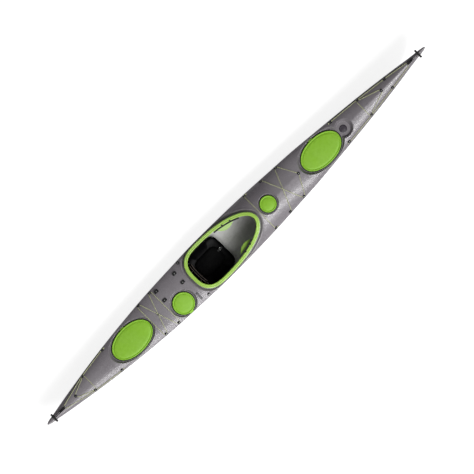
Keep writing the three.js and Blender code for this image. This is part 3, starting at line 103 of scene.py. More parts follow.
def make_studio_floor():
    """A flat square just under the keel, which shows white to camera, glossy and transmission rays."""
    reach = FLOOR_SIZE / 2
    corners = [(x * reach, y * reach, -FLOOR_DROP) for x, y in ((-1, -1), (1, -1), (1, 1), (-1, 1))]
    mesh = bpy.data.meshes.new("studio_floor")
    mesh.from_pydata(corners, [], [(0, 1, 2, 3)])
    paint = new_material(
        "floor_paint", Base_Color=(0.5, 0.5, 0.5, 1), Roughness=0.9, Emission_Color=(1, 1, 1, 1))
    tree = paint.node_tree
    rays = make_node(tree, "ShaderNodeLightPath").outputs
    seen = calc(tree, "MAXIMUM", rays["Is Camera Ray"], rays["Is Glossy Ray"])
    glow = calc(tree, "MULTIPLY", calc(tree, "MAXIMUM", seen, rays["Is Transmission Ray"]), FLOOR_GLOW)
    tree.links.new(glow, tree.nodes["Principled BSDF"].inputs["Emission Strength"])
    mesh.materials.append(paint)
    studio_floor = bpy.data.objects.new("studio_floor", mesh)
    bpy.context.scene.collection.objects.link(studio_floor)


def make_studio_air():
    """Sky light that grows evenly from the port side to the starboard side, and shows white to the camera."""
    world = bpy.data.worlds.new("studio_air")
    world.use_nodes = True
    tree = world.node_tree
    way = make_node(tree, "ShaderNodeTexCoord").outputs["Generated"]
    parts = make_node(tree, "ShaderNodeSeparateXYZ", {0: way}).outputs
    level = spread(tree, parts["Y"], -1.0, 1.0, AIR_STARBOARD, AIR_PORT)
    seen = make_node(tree, "ShaderNodeLightPath").outputs["Is Camera Ray"]
    sky = tree.nodes["Background"].inputs
    sky["Color"].default_value = (1, 1, 1, 1)
    tree.links.new(calc(tree, "MAXIMUM", level, seen), sky["Strength"])
    bpy.context.scene.world = world


def soft_lamp(name, place, aim, size, power):
    """A rectangular lamp at a place, turned to face the aim."""
    lamp = bpy.data.lights.new(name, "AREA")
    lamp.shape = "RECTANGLE"
    lamp.size, lamp.size_y = size
    lamp.energy = power
    holder = bpy.data.objects.new(name, lamp)
    turn = (Vector(aim) - Vector(place)).to_track_quat("-Z", "Y").to_matrix().to_4x4()
    holder.matrix_world = Matrix.Translation(place) @ turn
    bpy.context.scene.collection.objects.link(holder)


make_studio_floor()
make_studio_air()
soft_lamp("key_lamp", (1.5, -3.1, 4.8), (0.9, 0, 0.2), (3.8, 1.6), 163.0)
soft_lamp("fill_lamp", (-1.9, -3.4, 4.6), (-1.3, 0, 0.2), (3.4, 3.2), 175.0)

# Shape of the boat: half width, keel, seam and deck as smooth functions of the place along it.
# The same rows of shares as the mouldings' frames; lengths in millimetres, made metres in each mesh.
LENGTH, BEAM, DEPTH = 5460.0, 522.0, 210.0
BOW_HEIGHT, STERN_HEIGHT, FOREDECK_RISE = 430.0, 365.0, 118.0
KEEL_FLAT, STEM_FLAT, SHELL, GAP = 170.0, 9.0, 3.0, 0.3
HALF = LENGTH / 2
SHEER_POWER, ARCH_POWER, ARCH_FLATNESS = 2.4, 2.6, 0.75
RIDGE_EASE, SLOPE_RUN, END_CROWDING = 4.0, 4.0, 0.3


def smooth_curve(rows):
    """Cubic through rows of place and value; a slope is the harmonic mean of the two next to it, or level."""
    place, value = np.array(rows, float).T
    slope = np.diff(value) / np.diff(place)
    before = np.concatenate([slope[:1], slope])
    after = np.concatenate([slope, slope[-1:]])
    product = before * after
    total = np.where(product > 0, before + after, 1)
    tangent = np.where(product > 0, 2 * product / total, 0)

    def curve(x):
        x = np.asarray(x, float)
        i = np.clip(np.searchsorted(place, x, side="right") - 1, 0, len(place) - 2)
        run = place[i + 1] - place[i]
        t = np.clip((x - place[i]) / run, 0, 1)
        start = (1 + 2 * t) * (1 - t) ** 2 * value[i] + t * (1 - t) ** 2 * run * tangent[i]
        return start + t * t * (3 - 2 * t) * value[i + 1] + t * t * (t - 1) * run * tangent[i + 1]

    return curve


plan = smooth_curve([
    [-1, 0.02], [-0.99, 0.069], [-0.953, 0.14], [-0.84, 0.349], [-0.689, 0.586], [-0.538, 0.766],
    [-0.387, 0.893], [-0.25, 0.957], [-0.123, 1], [0.03, 0.981], [0.141, 0.943], [0.254, 0.877],
    [0.367, 0.808], [0.48, 0.7], [0.593, 0.586], [0.707, 0.46], [0.82, 0.31], [0.933, 0.138],
    [0.99, 0.06], [1, 0.02]])
keel = smooth_curve([
    [0, 0], [0.36, 0], [0.6, 0.012], [0.75, 0.05], [0.85, 0.14], [0.92, 0.3], [0.97, 0.57], [1, 0.92]])
crown = smooth_curve([
    [-1, 0.2], [-0.9, 0.34], [-0.7, 0.37], [-0.45, 0.34], [-0.25, 0.35], [-0.13, 0.44], [0, 0.76],
    [0.05, 0.92], [0.1, 1], [0.15, 1], [0.24, 0.82], [0.34, 0.55], [0.48, 0.46], [0.62, 0.5], [0.8, 0.46],
    [0.93, 0.32], [1, 0.18]])
ridge = smooth_curve([
    [-0.3, 0], [0, 0.1], [0.14, 0.28], [0.3, 0.25], [0.36, 0.08], [0.5, 0.08], [0.62, 0.35], [1, 0.35]])
full = smooth_curve([
    [-1, 0.1], [-0.7, 0.35], [-0.4, 0.85], [-0.2, 1], [0.2, 1], [0.4, 0.8], [0.7, 0.25], [1, 0.1]])


def half_beam(x):
    """Half the boat's width at x: the plan's curve times half the beam."""
    return BEAM / 2 * plan(x / HALF)


def end_height(x):
    """Height of the seam at the end that x lies towards."""
    return np.where(np.asarray(x) > 0, BOW_HEIGHT, STERN_HEIGHT)


def seam_height(x):
    """Depth amidships plus the end's extra height times a power of the way to the end."""
    return DEPTH + (end_height(x) - DEPTH) * np.abs(x / HALF) ** SHEER_POWER


def deck_height(x, y):
    """Seam plus rise times the crown: a flat-topped arch mixed with a straight ridge, its line eased."""
    out = np.sqrt(np.asarray(y, float) ** 2 + RIDGE_EASE ** 2) - RIDGE_EASE
    across = np.clip(out / half_beam(x), 0, 1)
    peak = ridge(x / HALF)
    arch = (1 - peak) * (1 - across ** ARCH_POWER) ** ARCH_FLATNESS + peak * (1 - across)
    return seam_height(x) + GAP / 2 + FOREDECK_RISE * crown(x / HALF) * arch


def deck_normal(x, y):
    """Unit vector square to the deck, from its slopes over a short run each way."""
    slope_x = (deck_height(x + SLOPE_RUN, y) - deck_height(x - SLOPE_RUN, y)) / (2 * SLOPE_RUN)
    slope_y = (deck_height(x, y + SLOPE_RUN) - deck_height(x, y - SLOPE_RUN)) / (2 * SLOPE_RUN)
    normal = np.stack([-slope_x, -slope_y, np.ones_like(slope_x)], -1)
    return normal / np.linalg.norm(normal, axis=-1, keepdims=True)


def stations(count, reach=HALF):
    """Places along the boat, closer together towards the ends, by a cubic of the even places."""
    t = np.linspace(-1, 1, count)
    return reach * ((1 + END_CROWDING) * t - END_CROWDING * t ** 3)


# Hull moulding: glass cloth and resin laid in a mould behind a light grey gelcoat, bare inside.
# It meets the deck at the seam all round, and the keel has a slot for the skeg.
DUST_COLOUR = (0.42, 0.41, 0.38, 1)
SOCKET_KINDS = {1: "NodeSocketFloat", 3: "NodeSocketVector", 4: "NodeSocketColor"}


def new_group(name, inputs, outputs):
    """An empty node group; each input's default value gives its kind, by how many numbers it has."""
    tree = bpy.data.node_groups.new(name, "ShaderNodeTree")
    for label, value in inputs.items():
        kind = SOCKET_KINDS[np.size(value)]
        tree.interface.new_socket(label, in_out="INPUT", socket_type=kind).default_value = value
    for label, kind in outputs.items():
        tree.interface.new_socket(label, in_out="OUTPUT", socket_type=kind)
    return tree, make_node(tree, "NodeGroupInput").outputs, make_node(tree, "NodeGroupOutput").inputs


def mix_colours(tree, share, first, second, blend_type="MIX"):
    """Output of a Mix node: the share of the second colour laid over the first."""
    inputs = {0: share, 6: first, 7: second}
    return make_node(tree, "ShaderNodeMix", inputs, data_type="RGBA", blend_type=blend_type).outputs[2]


def make_two_tone():
    """Mixes two colours by soft noise: blotches of one size, broken up by specks a dozen times finer."""
    white = (1.0, 1.0, 1.0, 1.0)
    tree, given, out = new_group(
        "two_tone", {"Vector": (0.0, 0.0, 0.0), "Scale": 20.0, "Specks": 0.3, "One": white, "Two": white},
        {"Colour": "NodeSocketColor"})
    place, scale = given["Vector"], given["Scale"]
    broad = make_node(tree, "ShaderNodeTexNoise", {"Vector": place, "Scale": scale, "Detail": 2.0})
    finer = calc(tree, "MULTIPLY", scale, 12.0)
    fine = make_node(tree, "ShaderNodeTexNoise", {"Vector": place, "Scale": finer, "Detail": 1.0})
    both = {"Factor": given["Specks"], "A": broad.outputs["Fac"], "B": fine.outputs["Fac"]}
    blend = make_node(tree, "ShaderNodeMix", both, data_type="FLOAT")
    share = spread(tree, blend.outputs["Result"], 0.36, 0.64)
    tree.links.new(mix_colours(tree, share, given["One"], given["Two"]), out["Colour"])
    return tree


def make_grain():
    """Relief of a moulded surface: noise of the given scale raised by the given height in metres."""
    tree, given, out = new_group(
        "moulded_grain", {"Vector": (0.0, 0.0, 0.0), "Scale": 900.0, "Height": 0.0002},
        {"Normal": "NodeSocketVector"})
    finest = {"Vector": given["Vector"], "Scale": given["Scale"], "Detail": 3.0, "Roughness": 0.6}
    noise = make_node(tree, "ShaderNodeTexNoise", finest)
    raised = {"Strength": 1.0, "Height": noise.outputs["Fac"], "Distance": given["Height"]}
    tree.links.new(make_node(tree, "ShaderNodeBump", raised).outputs[0], out["Normal"])
    return tree


def make_weave():
    """Threads over and under: sine ridges one way where two sines agree in sign, else the other way."""
    tree, given, out = new_group(
        "weave", {"Vector": (0.0, 0.0, 0.0), "Turns": (3000.0, 3000.0, 0.0), "Height": 0.0002},
        {"Normal": "NodeSocketVector", "Thread": "NodeSocketFloat"})
    both = {0: given["Vector"], 1: given["Turns"]}
    scaled = make_node(tree, "ShaderNodeVectorMath", both, operation="MULTIPLY")
    parts = make_node(tree, "ShaderNodeSeparateXYZ", {0: scaled.outputs[0]}).outputs
    waves = [calc(tree, "SINE", parts[number]) for number in (0, 1)]
    ridges = [calc(tree, "ABSOLUTE", wave) for wave in waves]
    over = calc(tree, "GREATER_THAN", calc(tree, "MULTIPLY", *waves), 0.0)
    chosen = {"Factor": over, "A": ridges[0], "B": ridges[1]}
    thread = make_node(tree, "ShaderNodeMix", chosen, data_type="FLOAT").outputs["Result"]
    raised = {"Strength": 1.0, "Height": thread, "Distance": given["Height"]}
    tree.links.new(make_node(tree, "ShaderNodeBump", raised).outputs[0], out["Normal"])
    tree.links.new(thread, out["Thread"])
    return tree


def make_dust():
    """Where fine dust lies: on faces that look up, patchy with broad noise, times the amount."""
    tree, given, out = new_group(
        "dust", {"Vector": (0.0, 0.0, 0.0), "Amount": 0.1}, {"Mask": "NodeSocketFloat"})
    facing = make_node(tree, "ShaderNodeNewGeometry").outputs["Normal"]
    parts = make_node(tree, "ShaderNodeSeparateXYZ", {0: facing}).outputs
    broad = {"Vector": given["Vector"], "Scale": 7.0, "Detail": 6.0, "Roughness": 0.7}
    patches = make_node(tree, "ShaderNodeTexNoise", broad).outputs["Fac"]
    lying = calc(tree, "MULTIPLY", spread(tree, parts["Z"], 0.55, 0.98), spread(tree, patches, 0.4, 0.75))
    tree.links.new(calc(tree, "MULTIPLY", lying, given["Amount"]), out["Mask"])
    return tree


two_tone, moulded_grain, weave, dust = make_two_tone(), make_grain(), make_weave(), make_dust()


def add_group(tree, group, place, **values):
    """Outputs of a group's node in a material, fed with the place, its inputs set by name."""
    made = make_node(tree, "ShaderNodeGroup", node_tree=group)
    tree.links.new(place, made.inputs["Vector"])
    for label, value in values.items():
        made.inputs[label].default_value = value
    return made.outputs


def make_finish(name, base, second, blotch, specks=0.3, grain=None, threads=None, dusty=0.0,
                coords="Object", **sockets):
    """A material that goes from one colour to a second in blotches, under dust. Its relief is a grain,
    given as scale and height, or a weave, given as turns, height and how bright the gaps stay under the
    painted shade between threads."""
    material = new_material(name, Base_Color=(*base, 1), **sockets)
    tree = material.node_tree
    shader = tree.nodes["Principled BSDF"].inputs
    place = make_node(tree, "ShaderNodeTexCoord").outputs[coords]
    blotches = add_group(tree, two_tone, place, Scale=blotch, Specks=specks, One=(*base, 1), Two=(*second, 1))
    tone = blotches["Colour"]
    if grain:
        relief = add_group(tree, moulded_grain, place, Scale=grain[0], Height=grain[1])
        tree.links.new(relief["Normal"], shader["Normal"])
    if threads:
        relief = add_group(tree, weave, place, Turns=threads[0], Height=threads[1])
        tree.links.new(relief["Normal"], shader["Normal"])
        # Painted shade: the colour darkens where the threads sink, down to the share given for the gaps.
        gap_shade = spread(tree, relief["Thread"], 0.0, 0.5, threads[2], 1.0)
        tone = mix_colours(tree, 1.0, tone, gap_shade, "MULTIPLY")
    lying = add_group(tree, dust, place, Amount=dusty)["Mask"]
    tree.links.new(mix_colours(tree, lying, tone, DUST_COLOUR), shader["Base Color"])
    return material


def add_mesh(name, points, faces, material, body="hull", sharp=None, uv=None):
    """An object of points in millimetres and faces as index rows, smooth but sharp past the angle given."""
    mesh = bpy.data.meshes.new(name)
    faces = [list(face) for face in faces]
    mesh.from_pydata((np.asarray(points, float) * 0.001).tolist(), [], faces)
    if uv is not None:
        layer = mesh.uv_layers.new(name="along")
        layer.data.foreach_set("uv", np.asarray(uv, float).ravel())
    mesh.polygons.foreach_set("use_smooth", np.ones(len(mesh.polygons), bool))
    if sharp is not None:
        mesh.set_sharp_from_angle(angle=math.radians(sharp))
    mesh.materials.append(material)
    piece = bpy.data.objects.new(name, mesh)
    bpy.context.scene.collection.objects.link(piece)
    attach(piece, body)
    return piece


def grid_faces(rows, columns, wrap_rows=False, wrap_columns=False):
    """Four-sided faces between neighbouring points of a grid, as whole arrays."""
    i = np.arange(rows if wrap_rows else rows - 1)[:, None]
    j = np.arange(columns if wrap_columns else columns - 1)[None, :]
    below, beside = (i + 1) % rows, (j + 1) % columns
    corners = [i * columns + j, below * columns + j, below * columns + beside, i * columns + beside]
    return np.stack(corners, -1).reshape(-1, 4)


def tidy(piece, doubles=0.00002, sharp=None):
    """Merges points that coincide, turns the faces outwards and marks sharp edges past an angle."""
    work = bmesh.new()
    work.from_mesh(piece.data)
    bmesh.ops.remove_doubles(work, verts=work.verts, dist=doubles)
    bmesh.ops.dissolve_degenerate(work, edges=work.edges, dist=doubles / 4)
    bmesh.ops.recalc_face_normals(work, faces=work.faces)
    work.to_mesh(piece.data)
    work.free()
    piece.data.polygons.foreach_set("use_smooth", np.ones(len(piece.data.polygons), bool))
    if sharp is not None:
        piece.data.set_sharp_from_angle(angle=math.radians(sharp))


def add_modifier(piece, kind, **settings):
    """A modifier of the kind given, with its settings."""
    modifier = piece.modifiers.new(kind.lower(), kind)
    for key, value in settings.items():
        setattr(modifier, key, value)
    return modifier


SKEG_PIVOT_X = -1491.96
SLOT_FORE, SLOT_AFT, SLOT_HALF, SLOT_SHARE = SKEG_PIVOT_X + 32, SKEG_PIVOT_X - 384, 5.5, 0.6
FLAT_SHARE = 0.45
LOW_OUT, LOW_UP = (0.45, 0.75), (0.36, 0.07)
HIGH_OUT, HIGH_UP = (0.86, 1), (0.66, 0.3)
HULL_STATIONS, HULL_STEPS = 241, 30


def hull_section(x, t):
    """Cubic Bezier from the keel flat round the bilge to the seam, in half width and height.
    The shares of its two middle points go from a V's at the ends to a full bilge's amidships."""
    x, t = np.broadcast_arrays(x, t)
    beam, seam, bulk = half_beam(x), seam_height(x), full(x / HALF)
    low = end_height(x) * keel(np.abs(x / HALF))

    def blend(vee, bilge):
        return vee + (bilge - vee) * bulk

    flat = np.minimum(blend(STEM_FLAT, KEEL_FLAT) / 2, beam * FLAT_SHARE)
    tall = seam - low
    a, b, c, d = (1 - t) ** 3, 3 * t * (1 - t) ** 2, 3 * t * t * (1 - t), t ** 3
    out = a * flat + b * (flat + (beam - flat) * blend(*LOW_OUT)) + c * beam * blend(*HIGH_OUT) + d * beam
    up = a * low + b * (low + tall * blend(*LOW_UP)) + c * (low + tall * blend(*HIGH_UP)) + d * seam
    return out, seam - GAP / 2 - (seam - up) * (1 - GAP / 2 / tall)


def make_hull():
    """Sections side by side: starboard seam, round the bilge, the flat, and up to the port seam."""
    x = np.unique(np.concatenate([stations(HULL_STATIONS), [SLOT_AFT, SLOT_FORE]]))[:, None]
    out, up = hull_section(x, np.linspace(0, 1, HULL_STEPS)[None, :])
    slot = np.minimum(SLOT_HALF, out[:, :1] * SLOT_SHARE)
    y = np.concatenate([-out[:, ::-1], -slot, slot, out], 1)
    z = np.concatenate([up[:, ::-1], up[:, :1], up[:, :1], up], 1)
    points = np.stack([np.broadcast_to(x, y.shape), y, z], -1)
    rows, columns = y.shape
    faces = grid_faces(rows, columns)
    row, column = faces[:, 0] // columns, faces[:, 0] % columns
    middle = (x[row, 0] + x[np.minimum(row + 1, rows - 1), 0]) / 2
    open_slot = (column == HULL_STEPS) & (middle > SLOT_AFT) & (middle < SLOT_FORE)
    caps = [list(range(columns)), list(range((rows - 1) * columns, rows * columns))[::-1]]
    hull = add_mesh("hull_moulding", points.reshape(-1, 3), faces[~open_slot].tolist() + caps, hull_gelcoat)
    tidy(hull, sharp=55)
    return hull


def add_wall(moulding):
    """Gives a moulding its thickness inwards, with bare laminate on the inner side."""
    moulding.data.materials.append(bare_laminate)
    add_modifier(moulding, "SOLIDIFY", thickness=SHELL * 0.001, offset=-1, material_offset=1,
                 material_offset_rim=0)


hull_gelcoat = make_finish(
    "hull_gelcoat", (0.62, 0.62, 0.60), (0.58, 0.58, 0.565), 3.0, 0.25, grain=(240.0, 0.00006),
    Roughness=0.3, Coat_Weight=0.6, Coat_Roughness=0.08)
bare_laminate = make_finish(
    "bare_laminate", (0.50, 0.50, 0.49), (0.42, 0.42, 0.40), 9.0, 0.35,
    threads=((1050.0, 1050.0, 1050.0), 0.0003, 0.8), Roughness=0.5)
hull_moulding = make_hull()
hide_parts("hull_shell")
add_wall(hull_moulding)

# Deck moulding: glass cloth behind a dark silver gelcoat with fine flakes under the gloss.
# Hatch and compass recesses are pressed in, the cockpit and hatch holes are cut, and the
# deck dips round the coaming, with a soft crease outside the dip.
HATCHES = {
    "bow": dict(place=(1236.96, 0, 258.956), long=498, wide=306, pitch=-2.4, roll=0, tab=1, steps=224),
    "stern": dict(place=(-1509.96, 0, 262.111), long=498, wide=306, pitch=2.1, roll=0, tab=1, steps=224),
    "day": dict(place=(-872.0, -108, 230.141), long=234, wide=234, pitch=0.5, roll=5, tab=-1, steps=144),
    "pod": dict(place=(465.0, 0, 302.235), long=175, wide=175, pitch=2.5, roll=0, tab=0, steps=128),
}
OVAL_POWER, COMPASS_STEPS = 2.1, 112
RECESS_EDGE, HOLE_GROW, WALL_RISE, EDGE_ROLL, END_ROLL = 16.0, -11.3, 1.75, 8.0, 2.0
RECESS_JOIN, RECESS_CORNER, RECESS_LIP, RECESS_REACH = 3.0, 2.5, 1.6, 190.0
COMPASS_X, COMPASS_RADIUS = 323.0, 75.0
COCKPIT_FRONT, COCKPIT_WIDEST, COCKPIT_BACK, COCKPIT_WIDTH = 258.0, -350.0, -595.0, 414.0
FORE_POWERS, AFT_POWERS, COCKPIT_STEPS = (2.15, 2.0), (3.0, 2.8), 720
COCKPIT_HOLE, COCKPIT_MIDDLE, COCKPIT_NEAR, FAR = 4.3, -170.0, 620.0, 500.0
DIP_DEEP, DIP_INNER, DIP_OUTER, CREASE_OUT, CREASE_TALL, CREASE_WIDE = 17.0, 43.0, 66.0, 73.0, 3.4, 6.0
DIP_CLEAR = 34.0


def hatch_axes(hatch):
    """Columns: the hatch's own axes, turned by the pitch about y, then by the roll about x."""
    roll, pitch = math.radians(hatch["roll"]), math.radians(hatch["pitch"])
    turn_x = np.array([[1, 0, 0], [0, math.cos(roll), -math.sin(roll)], [0, math.sin(roll), math.cos(roll)]])
    turn_y = np.array([
        [math.cos(pitch), 0, math.sin(pitch)], [0, 1, 0], [-math.sin(pitch), 0, math.cos(pitch)]])
    return turn_x @ turn_y


def oval_power(hatch):
    """The superellipse's power: 2 for a round hatch."""
    return 2.0 if hatch["long"] == hatch["wide"] else OVAL_POWER


def signed_power(value, power):
    """The power of a value's size, with the value's own sign."""
    return np.sign(value) * np.abs(value) ** power


def oval_points(hatch, grow, angle):
    """The grown oval in the hatch's plane: half widths times signed powers of cosine and sine."""
    power = 2 / oval_power(hatch)
    u = (hatch["long"] / 2 + grow) * signed_power(np.cos(angle), power)
    v = (hatch["wide"] / 2 + grow) * signed_power(np.sin(angle), power)
    return u, v


def oval_grow(u, v, hatch):
    """How much both half widths grow until the outline passes through the point, by halving the interval."""
    power, half_long, half_wide = oval_power(hatch), hatch["long"] / 2, hatch["wide"] / 2
    low, high = np.full(np.shape(u), 0.001 - min(half_long, half_wide)), np.full(np.shape(u), 4000.0)
    for _ in range(40):
        middle = (low + high) / 2
        share = np.abs(u / (half_long + middle)) ** power + np.abs(v / (half_wide + middle)) ** power
        low, high = np.where(share > 1, middle, low), np.where(share > 1, high, middle)
    return low


def outline_and_normals(count):
    """Cockpit edge in plan, half ovals of different powers fore and aft, and its outward directions."""
    angle = np.linspace(0, 2 * math.pi, count, endpoint=False)
    c, s = np.cos(angle), np.sin(angle)
    fore = c > 0
    reach = np.where(fore, COCKPIT_FRONT - COCKPIT_WIDEST, COCKPIT_WIDEST - COCKPIT_BACK)
    x = COCKPIT_WIDEST + reach * signed_power(c, np.where(fore, 2 / FORE_POWERS[0], 2 / AFT_POWERS[0]))
    y = COCKPIT_WIDTH / 2 * signed_power(s, np.where(fore, 2 / FORE_POWERS[1], 2 / AFT_POWERS[1]))
    edge = np.stack([x, y], -1)
    along = np.roll(edge, -1, 0) - np.roll(edge, 1, 0)
    along /= np.linalg.norm(along, axis=1, keepdims=True)
    return edge, np.stack([along[:, 1], -along[:, 0]], -1)


def cockpit_offset(x, y):
    """Distance in plan to the cockpit's edge, below zero inside it; worked out only near the cockpit."""
    offset = np.full(np.shape(x), FAR)
    near = np.abs(x - COCKPIT_MIDDLE) < COCKPIT_NEAR
    edge = outline_and_normals(COCKPIT_STEPS)[0]
    points = np.stack([x[near], y[near]], -1)
    parts = np.array_split(points, max(1, len(points) // 3000))
    distance = np.concatenate([
        np.linalg.norm(part[:, None] - edge[None], axis=2).min(1) for part in parts])
    ahead = points[:, 0] > COCKPIT_WIDEST
    reach = np.where(ahead, COCKPIT_FRONT - COCKPIT_WIDEST, COCKPIT_WIDEST - COCKPIT_BACK)
    power_x, power_y = (np.where(ahead, *pair) for pair in zip(FORE_POWERS, AFT_POWERS))
    share = (np.abs(points[:, 0] - COCKPIT_WIDEST) / reach) ** power_x
    share += (np.abs(points[:, 1]) * 2 / COCKPIT_WIDTH) ** power_y
    offset[near] = np.where(share < 1, -distance, distance)
    return offset


def soft_step(t):
    """Rises from 0 to 1 over the same range by three squares less two cubes."""
    t = np.clip(t, 0, 1)
    return t * t * (3 - 2 * t)


def soft_least(a, b, radius):
    """The smaller of two heights, with the corner between them rounded."""
    mix = np.clip(0.5 + (b - a) / (2 * radius), 0, 1)
    return b + (a - b) * mix - radius * mix * (1 - mix)


def in_hatch_plane(x, y, hatch):
    """Height of the hatch's plane over a plan point, and the point's two places in that plane."""
    axes, (cx, cy, cz) = hatch_axes(hatch), hatch["place"]
    z = cz - ((x - cx) * axes[0, 2] + (y - cy) * axes[1, 2]) / axes[2, 2]
    offset = np.stack([x - cx, y - cy, z - cz], -1) @ axes
    return z, offset[..., 0], offset[..., 1]


def recess_out(x, y, name):
    """Distance outside the edge of the recess floor; the compass recess joins the bow hatch's own."""
    z, u, v = in_hatch_plane(x, y, HATCHES[name])
    out = oval_grow(u, v, HATCHES[name]) - RECESS_EDGE
    if name == "bow":
        out = soft_least(out, np.hypot(u - COMPASS_X, v) - COMPASS_RADIUS, RECESS_JOIN)
    return z, out


def dressed_deck(x, y):
    """Deck height with the dip and crease round the cockpit, and each recess cut in with rounded corners."""
    x, y = np.asarray(x, float), np.asarray(y, float)
    z = deck_height(x, y)
    offset = cockpit_offset(x, y)
    room = soft_step((half_beam(x) - np.abs(y)) / DIP_CLEAR)
    crease = CREASE_TALL * np.exp(-((offset - CREASE_OUT) / CREASE_WIDE) ** 2)
    z = z + room * (crease - DIP_DEEP * (1 - soft_step((offset - DIP_INNER) / (DIP_OUTER - DIP_INNER))))
    for name, hatch in HATCHES.items():
        near = np.abs(x - hatch["place"][0]) < hatch["long"] / 2 + RECESS_REACH
        floor, out = recess_out(x[near], y[near], name)
        wall = floor + np.maximum(-soft_least(-out * WALL_RISE, 0 * out, RECESS_CORNER), 0)
        z[near] = soft_least(z[near], wall, RECESS_LIP)
    return z


def wall_top(at, count):
    """How far out the recess wall meets the deck at each of the ring's points, by halving the interval."""
    low, high = np.zeros(count), np.full(count, 80.0)
    for _ in range(24):
        middle = (low + high) / 2
        spot = at(middle, middle * WALL_RISE)
        under = spot[:, 2] < deck_height(spot[:, 0], spot[:, 1])
        low, high = np.where(under, middle, low), np.where(under, high, middle)
    return low


FLOOR_RINGS = np.array([HOLE_GROW - RECESS_EDGE, -20, -12, -6, -2.6, -1.2, 0])
WALL_RINGS = np.array([0.05, 0.13, 0.3, 0.52, 0.75, 0.9])
LIP_RINGS = np.array([-1.2, -0.3, 0.6, 1.8, 4, 8, 14, 22, 32])
DIP_RINGS = np.array([
    COCKPIT_HOLE, 10, 18, 28, 36, 41, 45, 48, 51, 54, 57, 60, 63, 65.5, 67.5, 69.2, 71, 72.8, 74.6, 77,
    81, 88, 98])


def ring_points(name, count, compass=False):
    """Plan points in rings on a recess: its floor, its wall up to the deck, its lip and a collar outside."""
    hatch = HATCHES[name]
    axes, place = hatch_axes(hatch), np.array(hatch["place"], float)
    angle = np.linspace(0, 2 * math.pi, count, endpoint=False)

    def at(out, height):
        if compass:
            u = COMPASS_X + (COMPASS_RADIUS + out) * np.cos(angle)
            v = (COMPASS_RADIUS + out) * np.sin(angle)
        else:
            u, v = oval_points(hatch, RECESS_EDGE + out, angle)
        return np.stack(np.broadcast_arrays(u, v, height), -1) @ axes.T + place

    top = wall_top(at, count)
    floor, wall, lip = (part[:, None] for part in (FLOOR_RINGS, WALL_RINGS, LIP_RINGS))
    outs = np.concatenate([floor + 0 * top, wall * top, lip + top])
    rings = np.stack([at(out, np.clip(out, 0, top) * WALL_RISE)[:, :2] for out in outs])
    hole = rings[0].copy()
    if name == "bow":
        z, u, v = in_hatch_plane(rings[..., 0], rings[..., 1], hatch)
        own = np.hypot(u - COMPASS_X, v) - COMPASS_RADIUS
        other = oval_grow(u, v, hatch) - RECESS_EDGE
        first, second = (own, other) if compass else (other, own)
        rings = rings[first < second + RING_OVERLAP]
    return rings.reshape(-1, 2), hole


DECK_ROWS, DECK_COLUMNS, END_COLUMNS, EDGE_STEPS = 261, 57, 7, 360
CELL, CELL_ROW, PLAN_SLACK, HOLE_SLACK, RING_OVERLAP, ROLL_SHARE = 7.0, 4096, 0.06, 0.1, 1.5, 0.45


def edge_round(x):
    """Radius of the roll along the deck's edge, smaller where the boat is narrow."""
    return np.minimum(EDGE_ROLL, ROLL_SHARE * half_beam(x))


def add_skirt(top, faces):
    """Rows below the outer border: a quarter ellipse as wide as the roll, then straight down to the seam."""
    pairs = faces[:, [[0, 1], [1, 2], [2, 0]]].reshape(-1, 2)
    key = pairs.min(1) * len(top) + pairs.max(1)
    _, place, uses = np.unique(key, return_index=True, return_counts=True)
    border = pairs[place[uses == 1]]
    side = np.abs(top[:, 1]) > half_beam(top[:, 0]) - edge_round(top[:, 0]) - PLAN_SLACK
    end = np.abs(top[:, 0]) > HALF - END_ROLL - PLAN_SLACK
    border = border[(side | end)[border].all(1)]
    ring = np.unique(border)
    order = np.full(len(top), -1)
    order[ring] = np.arange(len(ring))
    a, b = order[border[:, 0]], order[border[:, 1]]
    reach = np.stack([end[ring] * END_ROLL, side[ring] * edge_round(top[ring, 0])], -1)
    foot = seam_height(top[ring, 0]) + GAP / 2
    tall = np.minimum(top[ring, 2] - foot, EDGE_ROLL)
    rows, quads, above = [top], faces.tolist(), ring
    for number, turn in enumerate(np.radians([22.5, 45, 67.5, 90, 90])):
        plan_row = top[ring, :2] + math.sin(turn) * np.sign(top[ring, :2]) * reach
        height = foot if number == 4 else top[ring, 2] - tall * (1 - math.cos(turn))
        rows.append(np.stack([*plan_row.T, height], -1))
        below = len(top) + number * len(ring) + np.arange(len(ring))
        quads += np.stack([above[b], above[a], below[a], below[b]], -1).tolist()
        above = below
    return np.concatenate(rows), quads


def cell_numbers(points, ahead=0, beside=0):
    """A whole number for the square cell of the plan that holds each point, moved by whole cells."""
    row, column = np.floor(points / CELL).T
    return ((row + ahead) * CELL_ROW + column + beside).astype(np.int64)


def plan_rows(x, beam):
    """The deck's border, rows of points across it that crowd towards its edges, and rows at both ends."""
    border = np.concatenate([np.stack([x, beam], -1), np.stack([x, -beam], -1)[::-1]])
    across = np.sin(np.linspace(-1, 1, DECK_COLUMNS)[1:-1] * math.pi / 2)
    rows = beam[1:-1, None] * across
    grid = np.stack([np.broadcast_to(x[1:-1, None], rows.shape), rows], -1).reshape(-1, 2)
    end = beam[-1] * np.linspace(-0.75, 0.75, END_COLUMNS)
    ends = np.concatenate([np.stack([np.full(END_COLUMNS, sign * x[-1]), end], -1) for sign in (-1, 1)])
    return border, grid, ends


